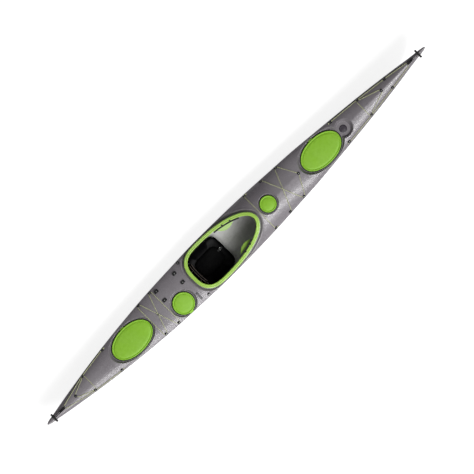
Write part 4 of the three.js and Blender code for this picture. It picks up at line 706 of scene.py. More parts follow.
def plan_rings():
    """Ring points round the recesses and the cockpit that lie on the deck, and the holes' borders."""
    rings, holes = zip(*[ring_points(name, hatch["steps"]) for name, hatch in HATCHES.items()])
    compass = ring_points("bow", COMPASS_STEPS, compass=True)[0]
    edge, out = outline_and_normals(EDGE_STEPS)
    cockpit = edge[None] + out[None] * DIP_RINGS[:, None, None]
    points = np.concatenate([*rings, compass, cockpit.reshape(-1, 2)])
    inside = np.abs(points[:, 1]) < half_beam(points[:, 0]) - edge_round(points[:, 0]) - 1.0
    floors = [recess_out(points[:, 0], points[:, 1], name)[1] for name in HATCHES]
    clear = cockpit_offset(points[:, 0], points[:, 1]) > COCKPIT_HOLE + HOLE_SLACK
    return points[inside & clear & (np.min(floors, 0) > FLOOR_RINGS[0] + HOLE_SLACK)], [*holes, cockpit[0]]


def make_deck():
    """Plan points of grid, rings and edges, joined by a constrained Delaunay net and lifted to the deck."""
    x = stations(DECK_ROWS, HALF - END_ROLL)
    beam = half_beam(x) - edge_round(x)
    border, grid, ends = plan_rows(x, beam)
    extra, holes = plan_rings()
    taken = np.unique([cell_numbers(extra, i, j) for i in (-1, 0, 1) for j in (-1, 0, 1)])
    wanted = ~np.isin(cell_numbers(grid), taken)
    wanted &= cockpit_offset(grid[:, 0], grid[:, 1]) > COCKPIT_HOLE + HOLE_SLACK
    for name in HATCHES:
        wanted &= recess_out(grid[:, 0], grid[:, 1], name)[1] > 0
    loops = [border, *holes]
    starts = np.cumsum([0] + [len(loop) for loop in loops])
    sides = [np.stack([np.arange(len(loop)), np.roll(np.arange(len(loop)), -1)], -1) + start
             for loop, start in zip(loops, starts)]
    points = np.concatenate([*loops, ends, extra, grid[wanted]])
    net, _, faces, *_ = geometry.delaunay_2d_cdt(points.tolist(), np.concatenate(sides).tolist(), [], 0, 0.05)
    flat = np.array([tuple(point) for point in net])
    faces = np.array(faces)
    centre = flat[faces].mean(1)
    keep = np.abs(centre[:, 1]) < np.interp(centre[:, 0], x, beam)
    keep &= cockpit_offset(centre[:, 0], centre[:, 1]) > COCKPIT_HOLE - 0.05
    for hatch in HATCHES.values():
        z, u, v = in_hatch_plane(centre[:, 0], centre[:, 1], hatch)
        keep &= oval_grow(u, v, hatch) > HOLE_GROW - 0.02
    faces = faces[keep]
    top = np.column_stack([flat, dressed_deck(flat[:, 0], flat[:, 1])])
    used = np.unique(faces)
    number = np.full(len(top), -1)
    number[used] = np.arange(len(used))
    return add_skirt(top[used], number[faces])


FLAKE_COLOUR = (0.42, 0.41, 0.43, 1)


def add_flakes(material, size, share, tilt):
    """Metal flakes: cells of one colour each, a share of them bright, each tipped a little its own way."""
    tree = material.node_tree
    shader = tree.nodes["Principled BSDF"].inputs
    place = make_node(tree, "ShaderNodeTexCoord").outputs["Object"]
    cells = make_node(tree, "ShaderNodeTexVoronoi", {"Vector": place, "Scale": 1 / size})
    parts = make_node(tree, "ShaderNodeSeparateColor", {0: cells.outputs["Color"]}).outputs
    bright = calc(tree, "GREATER_THAN", parts[0], 1 - share)
    under = shader["Base Color"].links[0].from_socket
    bump = make_node(tree, "ShaderNodeBump", {"Height": parts[1], "Strength": 1.0, "Distance": tilt})
    tree.links.new(mix_colours(tree, bright, under, FLAKE_COLOUR), shader["Base Color"])
    tree.links.new(bump.outputs[0], shader["Normal"])
    tree.links.new(bright, shader["Metallic"])


deck_gelcoat = make_finish(
    "deck_gelcoat", (0.169, 0.152, 0.168), (0.199, 0.183, 0.199), 2.6, 0.3, dusty=0.06,
    Roughness=0.44, Coat_Weight=0.36, Coat_Roughness=0.14)
add_flakes(deck_gelcoat, 0.0011, 0.1, 0.00002)
deck_points, deck_faces = make_deck()
deck_moulding = add_mesh("deck_moulding", deck_points, deck_faces, deck_gelcoat)
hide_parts("deck_shell")
add_wall(deck_moulding)

# Coaming: one lime laminate ring bonded into the deck, its inner wall rising to a broad lip
# that holds a spray deck. The lip has a fine step along its middle and rounded edges.
COAMING_LOW, COAMING_FRONT, COAMING_BACK, COAMING_POWER = 262.0, 350.0, 276.0, 1.7
COAMING_SECTION = np.array([
    [0, -48], [0, -30], [0, -12], [0, -6], [0.5, -3.4], [1.8, -1.2], [4, 0], [8, 0.5], [13, 0.6],
    [17, 0.3], [18.2, -0.2], [19, -1.5], [21, -1.6], [22, -0.6], [24, -0.1], [28, -0.1], [31.5, -0.8],
    [34.6, -2.4], [36.9, -4.6], [38, -7], [37.8, -8.6], [36.6, -10.2], [34.6, -10.4], [33.4, -9], [33, -7],
    [31.5, -5.4], [27, -5], [16, -5], [8, -5.2], [5.2, -6.5], [4, -9], [4, -30], [4, -48]])


def coaming_height(x):
    """Lowest at the widest place, rising by a power to the front and by the square to the back."""
    ahead = np.clip((x - COCKPIT_WIDEST) / (COCKPIT_FRONT - COCKPIT_WIDEST), 0, 1)
    behind = np.clip((COCKPIT_WIDEST - x) / (COCKPIT_WIDEST - COCKPIT_BACK), 0, 1)
    rise = (COAMING_FRONT - COAMING_LOW) * ahead ** COAMING_POWER
    return COAMING_LOW + rise + (COAMING_BACK - COAMING_LOW) * behind ** 2


def add_ring_mesh(name, points, material, body="hull", sharp=None, cap=False):
    """A closed skin over rings (ring, place on it, xyz), wrapped round both ways or capped at both ends."""
    rows, columns = points.shape[:2]
    faces = grid_faces(rows, columns, wrap_rows=not cap, wrap_columns=True).tolist()
    if cap:
        faces += [list(range(columns))[::-1], list(range((rows - 1) * columns, rows * columns))]
    piece = add_mesh(name, points.reshape(-1, 3), faces, material, body)
    tidy(piece, sharp=sharp)
    return piece


def make_coaming():
    """The section, as distance out and height, carried round the cockpit's edge."""
    edge, out = outline_and_normals(320)
    flat = edge[None] + out[None] * COAMING_SECTION[:, 0, None, None]
    height = coaming_height(edge[:, 0])[None] + COAMING_SECTION[:, 1, None]
    return np.concatenate([flat, height[..., None]], -1)


lime_gelcoat = make_finish(
    "lime_gelcoat", (0.36, 0.60, 0.085), (0.335, 0.565, 0.075), 14.0, grain=(260.0, 0.00005), dusty=0.03,
    Roughness=0.35, Coat_Weight=0.5, Coat_Roughness=0.12)
coaming = add_ring_mesh("cockpit_coaming", make_coaming(), lime_gelcoat, sharp=50)
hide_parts("coaming")

# Hatches: a black rubber rim bonded on the recess floor, and a soft lime rubber cover that snaps
# over it with a rolled edge, a groove inside the roll and a low crown. A tab lifts it off.
RIM_SECTION = np.array([
    [10, 0.3], [10, 2.8], [9.2, 3.8], [8, 4], [-3.5, 4], [-4.9, 4.4], [-5.3, 5.6], [-5.3, 13.6],
    [-5.8, 14.7], [-6.8, 15], [-9.8, 15], [-10.9, 14.6], [HOLE_GROW, 13.6], [HOLE_GROW, 0.3]])
COVER_SECTION = np.array([
    [-5, 15.3], [-5, 4.6], [-4.2, 4.3], [-1.2, 4.3], [-0.2, 5], [0, 6.4], [0, 12.5], [-0.3, 15.4],
    [-1.3, 17.9], [-3, 19.6], [-5.4, 20.9], [-8.2, 21.2], [-10.6, 20.7], [-12.6, 19.3], [-14.6, 17.2],
    [-16.6, 15.9], [-18.8, 16.1], [-21, 17.6], [-24, 19.6], [-29, 21.0], [-36, 22.0]])
CROWN_SHARES = np.array([0.9, 0.76, 0.6, 0.44, 0.28, 0.13, 0.01])[:, None]
CROWN_LOW, CROWN_RISE, COVER_UNDER = 22.2, 3.1, 15.3
TAB_HALF_LONG, TAB_HALF_WIDE, TAB_OUT = 25, 10, 2
TAB_ROWS = [[2, 4.3], [0.5, 4.7], [0, 5.8], [0, 6.8], [0.6, 8], [2, 8.3], [5, 8.1]]


def oval_rings(hatch, section, count):
    """The section's rows of growth and height as rings in the hatch's plane."""
    angle = np.linspace(0, 2 * math.pi, count, endpoint=False)[None]
    u, v = oval_points(hatch, section[:, :1], angle)
    return np.stack([u, v, np.broadcast_to(section[:, 1:2], u.shape)], -1)


def set_in(points, hatch):
    """Points of the hatch's own plane set in their place on the boat."""
    return points @ hatch_axes(hatch).T + np.array(hatch["place"], float)


def slab_rings(half_long, half_wide, rows, power, count):
    """Rings of a rounded slab: a superellipse drawn in by each row's inset, at each row's height."""
    angle = np.linspace(0, 2 * math.pi, count, endpoint=False)[None]
    rows = np.asarray(rows, float)
    x = (half_long - rows[:, :1]) * signed_power(np.cos(angle), 2 / power)
    y = (half_wide - rows[:, :1]) * signed_power(np.sin(angle), 2 / power)
    return np.stack([x, y, np.broadcast_to(rows[:, 1:2], x.shape)], -1)


def cover_rings(hatch, count):
    """Underside, skirt, roll and groove, then the crown: the inner ring shrunk and raised by a parabola."""
    shell = oval_rings(hatch, COVER_SECTION, count)
    share = CROWN_SHARES
    crown = shell[-1][None] * np.stack([share, share, 0 * share], -1)
    crown[..., 2] = CROWN_LOW + CROWN_RISE * (1 - share ** 2)
    under = shell[0][None] * np.stack([share[::-1], share[::-1], 0 * share], -1)
    under[..., 2] = COVER_UNDER
    return np.concatenate([under, shell, crown])


rim_rubber = make_finish(
    "rim_rubber", (0.008, 0.008, 0.008), (0.014, 0.014, 0.014), 60.0, grain=(900.0, 0.0001), dusty=0.02,
    Roughness=0.6, Specular_IOR_Level=0.3)
cover_rubber = make_finish(
    "cover_rubber", (0.215, 0.465, 0.014), (0.255, 0.525, 0.03), 34.0, 0.5,
    grain=(1100.0, 0.00012), dusty=0.05, Roughness=0.5, Specular_IOR_Level=0.4)
for name, hatch in HATCHES.items():
    round_count = 192 if hatch["long"] > 300 else 128
    ring = set_in(oval_rings(hatch, RIM_SECTION, round_count), hatch)
    rim = add_ring_mesh(f"{name}_rim_ring", ring, rim_rubber, sharp=50)
    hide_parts(f"{name}_hatch_rim")
    lid = set_in(cover_rings(hatch, round_count), hatch)
    cover = add_ring_mesh(f"{name}_lid", lid, cover_rubber, f"{name}_cover", cap=True)
    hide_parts(f"{name}_hatch_cover")
    if hatch["tab"]:
        tab = slab_rings(TAB_HALF_LONG, TAB_HALF_WIDE, TAB_ROWS, 4, 40)
        tab[..., 1] = (tab[..., 1] + hatch["wide"] / 2 + TAB_OUT) * hatch["tab"]
        tab = set_in(tab[:, ::hatch["tab"]], hatch)
        pull_tab = add_ring_mesh(f"{name}_pull_tab", tab, cover_rubber, f"{name}_cover", cap=True)

# Compass blank: a low round cap on the floor of the compass recess, where a compass would be screwed
# down. It is grained plastic with a flange, a raised step and a low dome in the middle.
BLANK_RADIUS = 42
BLANK_ROWS = [
    [0, 0.3], [0, 1.2], [0.7, 1.9], [8.4, 2.1], [9, 2.8], [9.6, 3.9], [11.2, 4.6], [14, 4.7],
    [15.5, 4.2], [17, 4.1], [23, 5.6], [31, 6.4], [39, 6.6], [41.8, 6.6]]
black_plastic = make_finish(
    "black_plastic", (0.005, 0.005, 0.006), (0.010, 0.010, 0.011), 80.0, grain=(1400.0, 0.00012), dusty=0.02,
    Roughness=0.45, Specular_IOR_Level=0.3)
compass_plastic = make_finish(
    "compass_plastic", (0.035, 0.028, 0.040), (0.05, 0.042, 0.056), 40.0, grain=(1400.0, 0.0001), dusty=0.03,
    Roughness=0.35)
blank = slab_rings(BLANK_RADIUS, BLANK_RADIUS, BLANK_ROWS, 2, 72)
blank[..., 0] += COMPASS_X
compass_cap = add_ring_mesh("compass_cap", set_in(blank, HATCHES["bow"]), compass_plastic, cap=True, sharp=50)
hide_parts("compass_blank")

# Inside: three bulkheads of foam-cored board glassed in place, and the knee pod, a laminate tub
# under the pod hatch. The front board is the boat's section there, drawn in by the shells' thickness.
BOARD_IN, BOARD_EDGE = 3.6, 1.0
POD_SECTION = np.array([
    [87.5, -3.3], [84.8, -60], [80.3, -115], [78.5, -119.5], [74, -121.3], [40, -121.3], [0.5, -121.3],
    [0.5, -118.3], [40, -118.3], [72, -118.3], [75.8, -116.4], [77.4, -112], [81.9, -60], [84.5, -3.3]])
bulkhead_board = make_finish(
    "bulkhead_board", (0.5, 0.5, 0.49), (0.44, 0.44, 0.42), 12.0, 0.4, grain=(180.0, 0.0003), Roughness=0.5)


def finish_node(name, material):
    """Gives a node of the frame its material in every slot."""
    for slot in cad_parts[name].material_slots:
        slot.material = material


def softened(node_name, material, width, body="hull", segments=3):
    """A merged copy of a node's mesh with whole flats and bevelled edges; it stands for the node."""
    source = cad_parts[node_name]
    mesh = source.data.copy()
    mesh.transform(source.matrix_world)
    mesh.materials.clear()
    work = bmesh.new()
    work.from_mesh(mesh)
    bmesh.ops.remove_doubles(work, verts=work.verts, dist=0.00001)
    bmesh.ops.dissolve_limit(work, angle_limit=math.radians(1.5), verts=work.verts, edges=work.edges)
    work.to_mesh(mesh)
    work.free()
    mesh.polygons.foreach_set("use_smooth", np.ones(len(mesh.polygons), bool))
    mesh.set_sharp_from_angle(angle=math.radians(40))
    mesh.materials.append(material)
    piece = bpy.data.objects.new(node_name + "_rounded", mesh)
    bpy.context.scene.collection.objects.link(piece)
    add_modifier(piece, "BEVEL", width=width * 0.001, segments=segments, limit_method="ANGLE",
                 angle_limit=math.radians(35), harden_normals=True)
    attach(piece, body)
    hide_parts(node_name)
    return piece


def board_outline(x, inset):
    """The section at x, hull from port to starboard and deck back, drawn in square to itself by the inset."""
    out, up = hull_section(x, np.linspace(0, 1, 22))
    across = np.linspace(-0.98, 0.98, 45) * half_beam(x)
    y = np.concatenate([out[::-1], -out, across])
    z = np.concatenate([up[::-1], up, dressed_deck(np.full(45, x), across)])
    along = np.stack([np.roll(y, -1) - np.roll(y, 1), np.roll(z, -1) - np.roll(z, 1)], -1)
    along /= np.linalg.norm(along, axis=1, keepdims=True)
    return np.stack([np.full(len(y), x), y + inset * along[:, 1], z - inset * along[:, 0]], -1)


for board in ("day_bulkhead", "rear_bulkhead"):
    finish_node(board, bulkhead_board)
aft, fore = (corner[0] * 1000 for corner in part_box("front_bulkhead"))
board_rings = np.stack([board_outline(fore, BOARD_IN + drawn) + [x - fore, 0, 0] for x, drawn in (
    (aft, BOARD_EDGE), (aft + BOARD_EDGE, 0), (fore - BOARD_EDGE, 0), (fore, BOARD_EDGE))])
front_board = add_ring_mesh("front_board", board_rings, bulkhead_board, sharp=50, cap=True)
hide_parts("front_bulkhead")
pod = slab_rings(0, 0, POD_SECTION * [-1, 1], 2, 96)
pod_tub = add_ring_mesh("pod_tub", set_in(pod, HATCHES["pod"]), bare_laminate, sharp=50)
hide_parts("knee_pod")

# Seat: a pan thermoformed in black plastic that stands on the hull, with high hip cheeks at the sides
# and a low front edge. A foam pad in stretch cloth lies in it.
SEAT_X, SEAT_Z, SEAT_HALF_LONG, SEAT_HALF_WIDE, SEAT_IN = -378.0, 3.3, 217.0, 197.0, 1.0
RIM_FRONT, CHEEK_RISE, BACK_DROP = 60.0, 162.0, 126.0
PAN_SHARES = np.array([0, 0.02, 0.06, 0.12, 0.2, 0.3, 0.42, 0.55, 0.68, 0.8, 0.9, 0.96, 1])[:, None]
PAN_STEPS = 176
PAN_UP, PAN_LONG = [0, 0.06, 0.2, 0.42, 0.68, 1], [0.6, 0.78, 0.9, 0.965, 0.985, 1]
PAN_WIDE = [0.42, 0.6, 0.79, 0.92, 0.98, 1]


def make_pan():
    """Superellipse rings widen upwards; the rim steps softly up from the front to the cheeks, then down."""
    angle = np.linspace(0, 2 * math.pi, PAN_STEPS, endpoint=False)[None]
    power = 2 / np.where(np.cos(angle) > 0, 6.0, 4.0)
    along, across = signed_power(np.cos(angle), power), signed_power(np.sin(angle), power)
    place = SEAT_HALF_LONG * along
    rim = RIM_FRONT + CHEEK_RISE * soft_step((118 - place) / 60) - BACK_DROP * soft_step((-74 - place) / 56)
    x = (SEAT_HALF_LONG - SEAT_IN) * np.interp(PAN_SHARES, PAN_UP, PAN_LONG) * along
    y = (SEAT_HALF_WIDE - SEAT_IN) * np.interp(PAN_SHARES, PAN_UP, PAN_WIDE) * across
    shell = np.stack([x, y, np.broadcast_to(PAN_SHARES * rim, x.shape)], -1)
    floor = shell[0][None] * np.array([0.02, 0.3, 0.6, 0.85])[:, None, None]
    return np.concatenate([floor, shell]) + np.array([SEAT_X, 0, SEAT_Z])


seat_plastic = make_finish(
    "seat_plastic", (0.0012, 0.0012, 0.0015), (0.0026, 0.0026, 0.0030), 30.0,
    grain=(520.0, 0.0003), dusty=0.012, Roughness=0.45, Specular_IOR_Level=0.09)
pan_points = make_pan()
pan_faces = grid_faces(*pan_points.shape[:2], wrap_columns=True).tolist() + [list(range(PAN_STEPS))]
seat_tub = add_mesh("seat_tub", pan_points.reshape(-1, 3), pan_faces, seat_plastic)
tidy(seat_tub)
add_modifier(seat_tub, "SOLIDIFY", thickness=0.003, offset=-1)
add_modifier(seat_tub, "BEVEL", width=0.0012, segments=2, limit_method="ANGLE", angle_limit=math.radians(60))
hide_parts("seat_pan")


def inflate(piece, cap, pressure=4.0, voxel=0.005, frames=20):
    """Remeshes the form, lets cloth blow it up without gravity, and caps how far each point has moved."""
    bpy.context.view_layer.update()
    add_modifier(piece, "REMESH", mode="VOXEL", voxel_size=voxel)
    graph = bpy.context.evaluated_depsgraph_get()
    blown = bpy.data.meshes.new_from_object(piece.evaluated_get(graph))
    piece.modifiers.clear()
    materials = list(piece.data.materials)
    piece.data = blown
    piece.data.materials.clear()
    for material in materials:
        piece.data.materials.append(material)
    count = len(blown.vertices)
    rest = np.empty(count * 3)
    blown.vertices.foreach_get("co", rest)
    cloth = add_modifier(piece, "CLOTH")
    cloth.settings.use_pressure = True
    cloth.settings.uniform_pressure_force = pressure
    cloth.settings.effector_weights.gravity = 0.0
    cloth.settings.mass = 0.3
    cloth.settings.tension_stiffness = cloth.settings.compression_stiffness = 25.0
    cloth.collision_settings.use_collision = False
    cloth.point_cache.frame_end = frames
    for number in range(1, frames + 1):
        bpy.context.scene.frame_set(number)
    graph = bpy.context.evaluated_depsgraph_get()
    swollen = piece.evaluated_get(graph).to_mesh()
    moved = np.empty(count * 3)
    swollen.vertices.foreach_get("co", moved)
    piece.modifiers.clear()
    bpy.context.scene.frame_set(1)
    step = (moved - rest).reshape(-1, 3)
    size = np.linalg.norm(step, axis=1, keepdims=True)
    rest = (rest.reshape(-1, 3) + step * np.minimum(1, cap / np.maximum(size, 1e-9))).ravel()
    return rest.reshape(-1, 3)


def set_points(piece, points):
    """Moves the mesh's points and shades it smooth."""
    piece.data.vertices.foreach_set("co", np.ascontiguousarray(points).ravel())
    piece.data.update()
    piece.data.polygons.foreach_set("use_smooth", np.ones(len(piece.data.polygons), bool))


# Seat pad: foam under black stretch cloth, crowned, drawn in at the sides, with two sewn channels
# across it, two hollows for the thighs and a seam round its edge.
PAD_HALF_LONG, PAD_HALF_WIDE, PAD_POWER, PAD_LOW, PAD_HIGH = 160, 111, 3.4, 3.4, 34.5
CHANNEL_PLACE, CHANNEL_WIDE, CHANNEL_DEEP, HOLLOW_DEEP = 42, 3.2, 4.2, 3.0
PAD_SEAM_UP, PAD_SEAM_WIDE = 16, 1.6
PAD_FORM = [[26, 3.6], [10, 4.0], [3, 7.5], [0, 13], [0, 19], [3, 25], [10, 29.5], [26, 31]]


def groove(distance, wide):
    """A soft groove's depth, from 1 in its middle to nothing: the bell curve of the distance from it."""
    return np.exp(-(distance / wide) ** 2)


def sew_cushion(points):
    """Presses the channels and hollows into the pad's top, fading to its edge, and the seam into its side."""
    x, y, z = (points - [SEAT_X, 0, SEAT_Z]).T
    edge = 1 - (np.abs(x) / (PAD_HALF_LONG + 2)) ** PAD_POWER - (np.abs(y) / (PAD_HALF_WIDE + 2)) ** PAD_POWER
    channels = groove(x - CHANNEL_PLACE, CHANNEL_WIDE) + groove(x + CHANNEL_PLACE, CHANNEL_WIDE)
    hollow = HOLLOW_DEEP * np.exp(-(x / 95) ** 2 - (np.abs(y) / 62 - 0.75) ** 2 * 2.2)
    z = z - soft_step((z - 14) / 12) * soft_step(edge / 0.35) * (CHANNEL_DEEP * channels + hollow)
    rim = np.hypot(x / PAD_HALF_LONG, y / PAD_HALF_WIDE) > 0.9
    seam = groove(z - PAD_SEAM_UP, PAD_SEAM_WIDE) * rim * PAD_SEAM_WIDE / np.maximum(np.hypot(x, y), 1)
    local = np.stack([x - x * seam, y - y * seam, np.clip(z, PAD_LOW, PAD_HIGH)], -1)
    return local + [SEAT_X, 0, SEAT_Z]


seat_cloth = make_finish(
    "seat_cloth", (0.0012, 0.0012, 0.0014), (0.0026, 0.0026, 0.0030), 25.0,
    threads=((2600.0, 2600.0, 0.0), 0.00035, 0.6), dusty=0.01, Roughness=0.9, Specular_IOR_Level=0.06)
pad_form = slab_rings(PAD_HALF_LONG, PAD_HALF_WIDE, PAD_FORM, PAD_POWER, 80) + np.array([SEAT_X, 0, SEAT_Z])
seat_cushion = add_ring_mesh("seat_cushion", pad_form, seat_cloth, cap=True)
set_points(seat_cushion, sew_cushion(inflate(seat_cushion, 0.005) * 1000) * 0.001)
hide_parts("seat_pad")

# Backrest: a padded band on a stainless rod through the pan's cheeks; it curls forward at its ends
# and tips back and forth on the rod. A thin piping runs along its upper edge; its light reddish brown
# is a painted highlight along that edge.
BACK_X, BACK_Z, BACK_HALF_WIDE, BACK_HALF_THICK, BACK_HALF_TALL = -550.0, 87.3, 135, 10.5, 78
QUILT_UP, QUILT_WIDE = (140, 186), 3.0


def back_middle(across):
    """Forward place of the band's middle plane: it curls forward with the square of the place across."""
    return BACK_X - 4 + 12 * across ** 2


def make_band():
    """Rings of a rounded slab standing on edge, thinner and lower at the ends, bent to the curl."""
    across = np.sin(np.linspace(-1, 1, 33) * math.pi / 2)[:, None]
    angle = np.linspace(0, 2 * math.pi, 48, endpoint=False)[None]
    draw = 1 - 0.45 * np.abs(across) ** 7
    x = back_middle(across) + BACK_HALF_THICK * draw * signed_power(np.cos(angle), 0.6)
    z = BACK_Z + 71 + BACK_HALF_TALL * draw * signed_power(np.sin(angle), 0.5)
    return np.stack([x, np.broadcast_to(across * BACK_HALF_WIDE, x.shape), z], -1)


def quilt_band(points):
    """Presses two sewn grooves into both faces of the band, fading at its ends, and keeps it in its box."""
    x, y, z = points.T
    face = np.sign(x - back_middle(y / 140))
    quilt = sum(groove(z - up, QUILT_WIDE) for up in QUILT_UP)
    x = x - face * quilt * soft_step((1 - np.abs(y / 138)) / 0.15) * QUILT_WIDE
    return np.clip(np.stack([x, y, z], -1), [BACK_X - 19, -140, 75.3], [BACK_X + 18, 140, 241.5])


back_band = add_ring_mesh("back_band", make_band(), seat_cloth, "backrest", cap=True)
set_points(back_band, quilt_band(inflate(back_band, 0.004) * 1000) * 0.001)
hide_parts("backrest")


def tube_rings(path, radius, sides=12):
    """Rings square to a path: a circle on two directions square to it, level and upright if it is level."""
    path = np.asarray(path, float)
    ahead = np.gradient(path, axis=0)
    ahead /= np.linalg.norm(ahead, axis=1, keepdims=True)
    up = np.where(np.abs(ahead[:, 2:3]) > 0.98, [1.0, 0, 0], [0.0, 0, 1])
    side = np.cross(ahead, up)
    side /= np.linalg.norm(side, axis=1, keepdims=True)
    over = np.cross(side, ahead)
    angle = np.linspace(0, 2 * math.pi, sides, endpoint=False)[None, :, None]
    radius = np.broadcast_to(np.asarray(radius, float), (len(path),))[:, None, None]
    return path[:, None] + radius * (np.cos(angle) * side[:, None] + np.sin(angle) * over[:, None])


stainless = make_finish(
    "stainless", (0.58, 0.58, 0.57), (0.48, 0.48, 0.47), 150.0, 0.5, grain=(2600.0, 0.00005),
    Metallic=1.0, Roughness=0.28)
rod_y = np.array([-151, -150.6, -149.8, *np.linspace(-148, 148, 9), 149.8, 150.6, 151])
rod_r = np.array([1.6, 2.6, 3, *([3] * 9), 3, 2.6, 1.6])
rod_path = np.stack([np.full(15, BACK_X), rod_y, np.full(15, BACK_Z)], -1)
back_rod = add_ring_mesh("back_rod", tube_rings(rod_path, rod_r, 20), stainless, cap=True, sharp=50)
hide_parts("backrest_rod")
# The piping is lighter than the band: painted highlight along the band's top edge.
highlight_piping_cloth = make_finish(
    "highlight_piping_cloth", (0.085, 0.06, 0.05), (0.12, 0.09, 0.08), 60.0, grain=(2200.0, 0.0002), Roughness=0.7)
pipe_y = np.linspace(-118, 118, 41)
for label, forward in (("front", 10.5), ("back", -11.0)):
    pipe = np.stack([back_middle(pipe_y / BACK_HALF_WIDE) + forward, pipe_y, np.full(41, BACK_Z + 145)], -1)
    rings = tube_rings(pipe, 1.8, 10)
    piping = add_ring_mesh(f"backrest_{label}_piping", rings, highlight_piping_cloth, "backrest", cap=True)

# Thigh braces: lime laminate plates bonded under the coaming's inner edge, where the paddler's thighs
# lock in; their lime is darker than the coaming's, painted shade for the lip's shadow on them. A black strip
# in the rim's rubber finish runs along the coaming's inner wall above each, held by two capped bolts; it is
# painted shade for the shadowed gap between the coaming and the brace.
# A darker copy of the coaming's lime: painted shade for the lip's shadow on the braces.
shaded_brace_gelcoat = make_finish(
    "shaded_brace_gelcoat", (0.25, 0.44, 0.055), (0.225, 0.405, 0.048), 14.0, grain=(260.0, 0.00005), dusty=0.03,
    Roughness=0.4, Coat_Weight=0.4, Coat_Roughness=0.15)
# Each black strip is painted shade: it stands for the shadowed gap between the coaming's wall and the brace.
BRACE_SHADE_STRIP = {"port": (1, -140.0, 160.0, (-25.0, 65.0)), "starboard": (-1, -120.0, 95.0, (-45.0, 45.0))}
SHADE_STRIP_SECTION = np.array([[-0.6, -4], [-15, -4.6], [-16.4, -6.4], [-16.4, -20], [-15.4, -22], [-0.6, -22]])
BOLT_RADIUS, BOLT_OUT, BOLT_ROWS = 8.5, 3.0, [[0, -5], [0, 1.6], [0.7, 2.6], [2.0, 3.1], [5.5, 3.4]]
for side, (sign, aft, fore, bolts) in BRACE_SHADE_STRIP.items():
    softened(f"{side}_thigh_brace", shaded_brace_gelcoat, 2.2, segments=4)
    edge, out = outline_and_normals(720)
    part = (edge[:, 1] * sign > 0) & (edge[:, 0] > aft) & (edge[:, 0] < fore)
    edge, out = edge[part], out[part]
    flat = edge[:, None] + out[:, None] * SHADE_STRIP_SECTION[None, :, :1]
    tall = coaming_height(edge[:, 0])[:, None] + SHADE_STRIP_SECTION[None, :, 1]
    strip = np.concatenate([flat, tall[..., None]], -1)
    shade_strip = add_ring_mesh(f"{side}_brace_shade_strip", strip, rim_rubber, cap=True, sharp=40)
    for number, x in enumerate(bolts):
        k = int(np.argmin(np.abs(edge[:, 0] - x)))
        spot = np.array([*(edge[k] + out[k] * BOLT_OUT), coaming_height(x) - 0.6])
        head = slab_rings(BOLT_RADIUS, BOLT_RADIUS, BOLT_ROWS, 2, 24) + spot
        bolt_cap = add_ring_mesh(f"{side}_brace_bolt_{number + 1}", head, black_plastic, cap=True)

# Footrests: a ribbed rail of black plastic on each hull side, and a pedal whose claws slide along it
# to suit the paddler's legs.
for side in ("port", "starboard"):
    softened(f"{side}_footrest_rail", black_plastic, 1.5)
    softened(f"{side}_foot_pedal", black_plastic, 1.5, body=f"{side}_pedal")

# Skeg: a blade that drops out of a narrow laminate box over the keel slot, on a stainless pin. A cable
# in a sheath runs from its box to a slider in a track on the deck.
softened("skeg_box", bare_laminate, 1.5)
softened("skeg_blade", black_plastic, 1.6, body="skeg")
finish_node("skeg_pin", stainless)
track_plastic = make_finish(
    "track_plastic", (0.10, 0.097, 0.104), (0.13, 0.127, 0.134), 60.0, grain=(1400.0, 0.0001), dusty=0.03,
    Roughness=0.45)
softened("skeg_track", track_plastic, 1.2)
softened("skeg_slider", track_plastic, 1.0, body="slider")
cable_sheath = make_finish(
    "cable_sheath", (0.02, 0.02, 0.022), (0.03, 0.03, 0.032), 50.0, grain=(1800.0, 0.00005), Roughness=0.5)

# Screws: stainless pan heads with a round socket, one on each deck fitting and mounting pad, two on
# each end fitting and two on the seat pan's back edge.
SCREW_RADIUS, SCREW_TALL = 4.2, 1.3
SCREW_ROWS = np.array([
    [0, -0.6], [0, 0.35], [0.12, 0.75], [0.3, 1.0], [0.5, 1.12], [0.56, 1.1], [0.6, 0.4], [0.95, 0.3]])


def deck_axes(x, y, yaw=0.0):
    """Columns: along the yaw but in the deck, across it, and square to the deck there."""
    up = deck_normal(np.float64(x), np.float64(y))
    along = np.array([math.cos(yaw), math.sin(yaw), 0.0])
    along -= up * (along @ up)
    along /= np.linalg.norm(along)
    return np.stack([along, np.cross(up, along), up], -1)


def on_deck(x, y):
    """The point of the finished deck over a place in plan."""
    return np.array([x, y, float(dressed_deck(np.array([x]), np.array([y]))[0])])


def add_screw(name, place, axes=np.eye(3), radius=SCREW_RADIUS):
    """Rings of a domed head with a dished socket, drawn in from its edge row by row."""
    head = slab_rings(radius, radius, SCREW_ROWS * [radius, SCREW_TALL], 2, 18)
    screw = add_ring_mesh(name, head @ axes.T + place, stainless, cap=True, sharp=50)


# Mounting pads: four square black plastic blocks with level tops on the port side of the aft deck,
# each held by one screw through its middle.
PAD_ROWS = [[0, 0], [0, 7.4], [0.35, 8.4], [1.1, 8.9], [2.2, 9.0], [7.6, 9.0], [8.2, 8.3], [9.0, 8.1]]
for row, x in (("fore", -723.0), ("aft", -986.0)):
    for column, y in (("inner", 53.0), ("outer", 176.0)):
        block = slab_rings(24, 17, PAD_ROWS, 7, 64) + on_deck(x, y)
        block[0, :, 2] = dressed_deck(block[0, :, 0], block[0, :, 1]) + 0.05
        pad_block = add_ring_mesh(f"pad_block_{row}_{column}", block, black_plastic, cap=True, sharp=40)
        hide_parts(f"mounting_pad_{row}_{column}")
        add_screw(f"pad_screw_{row}_{column}", on_deck(x, y) + [0, 0, 8.2])

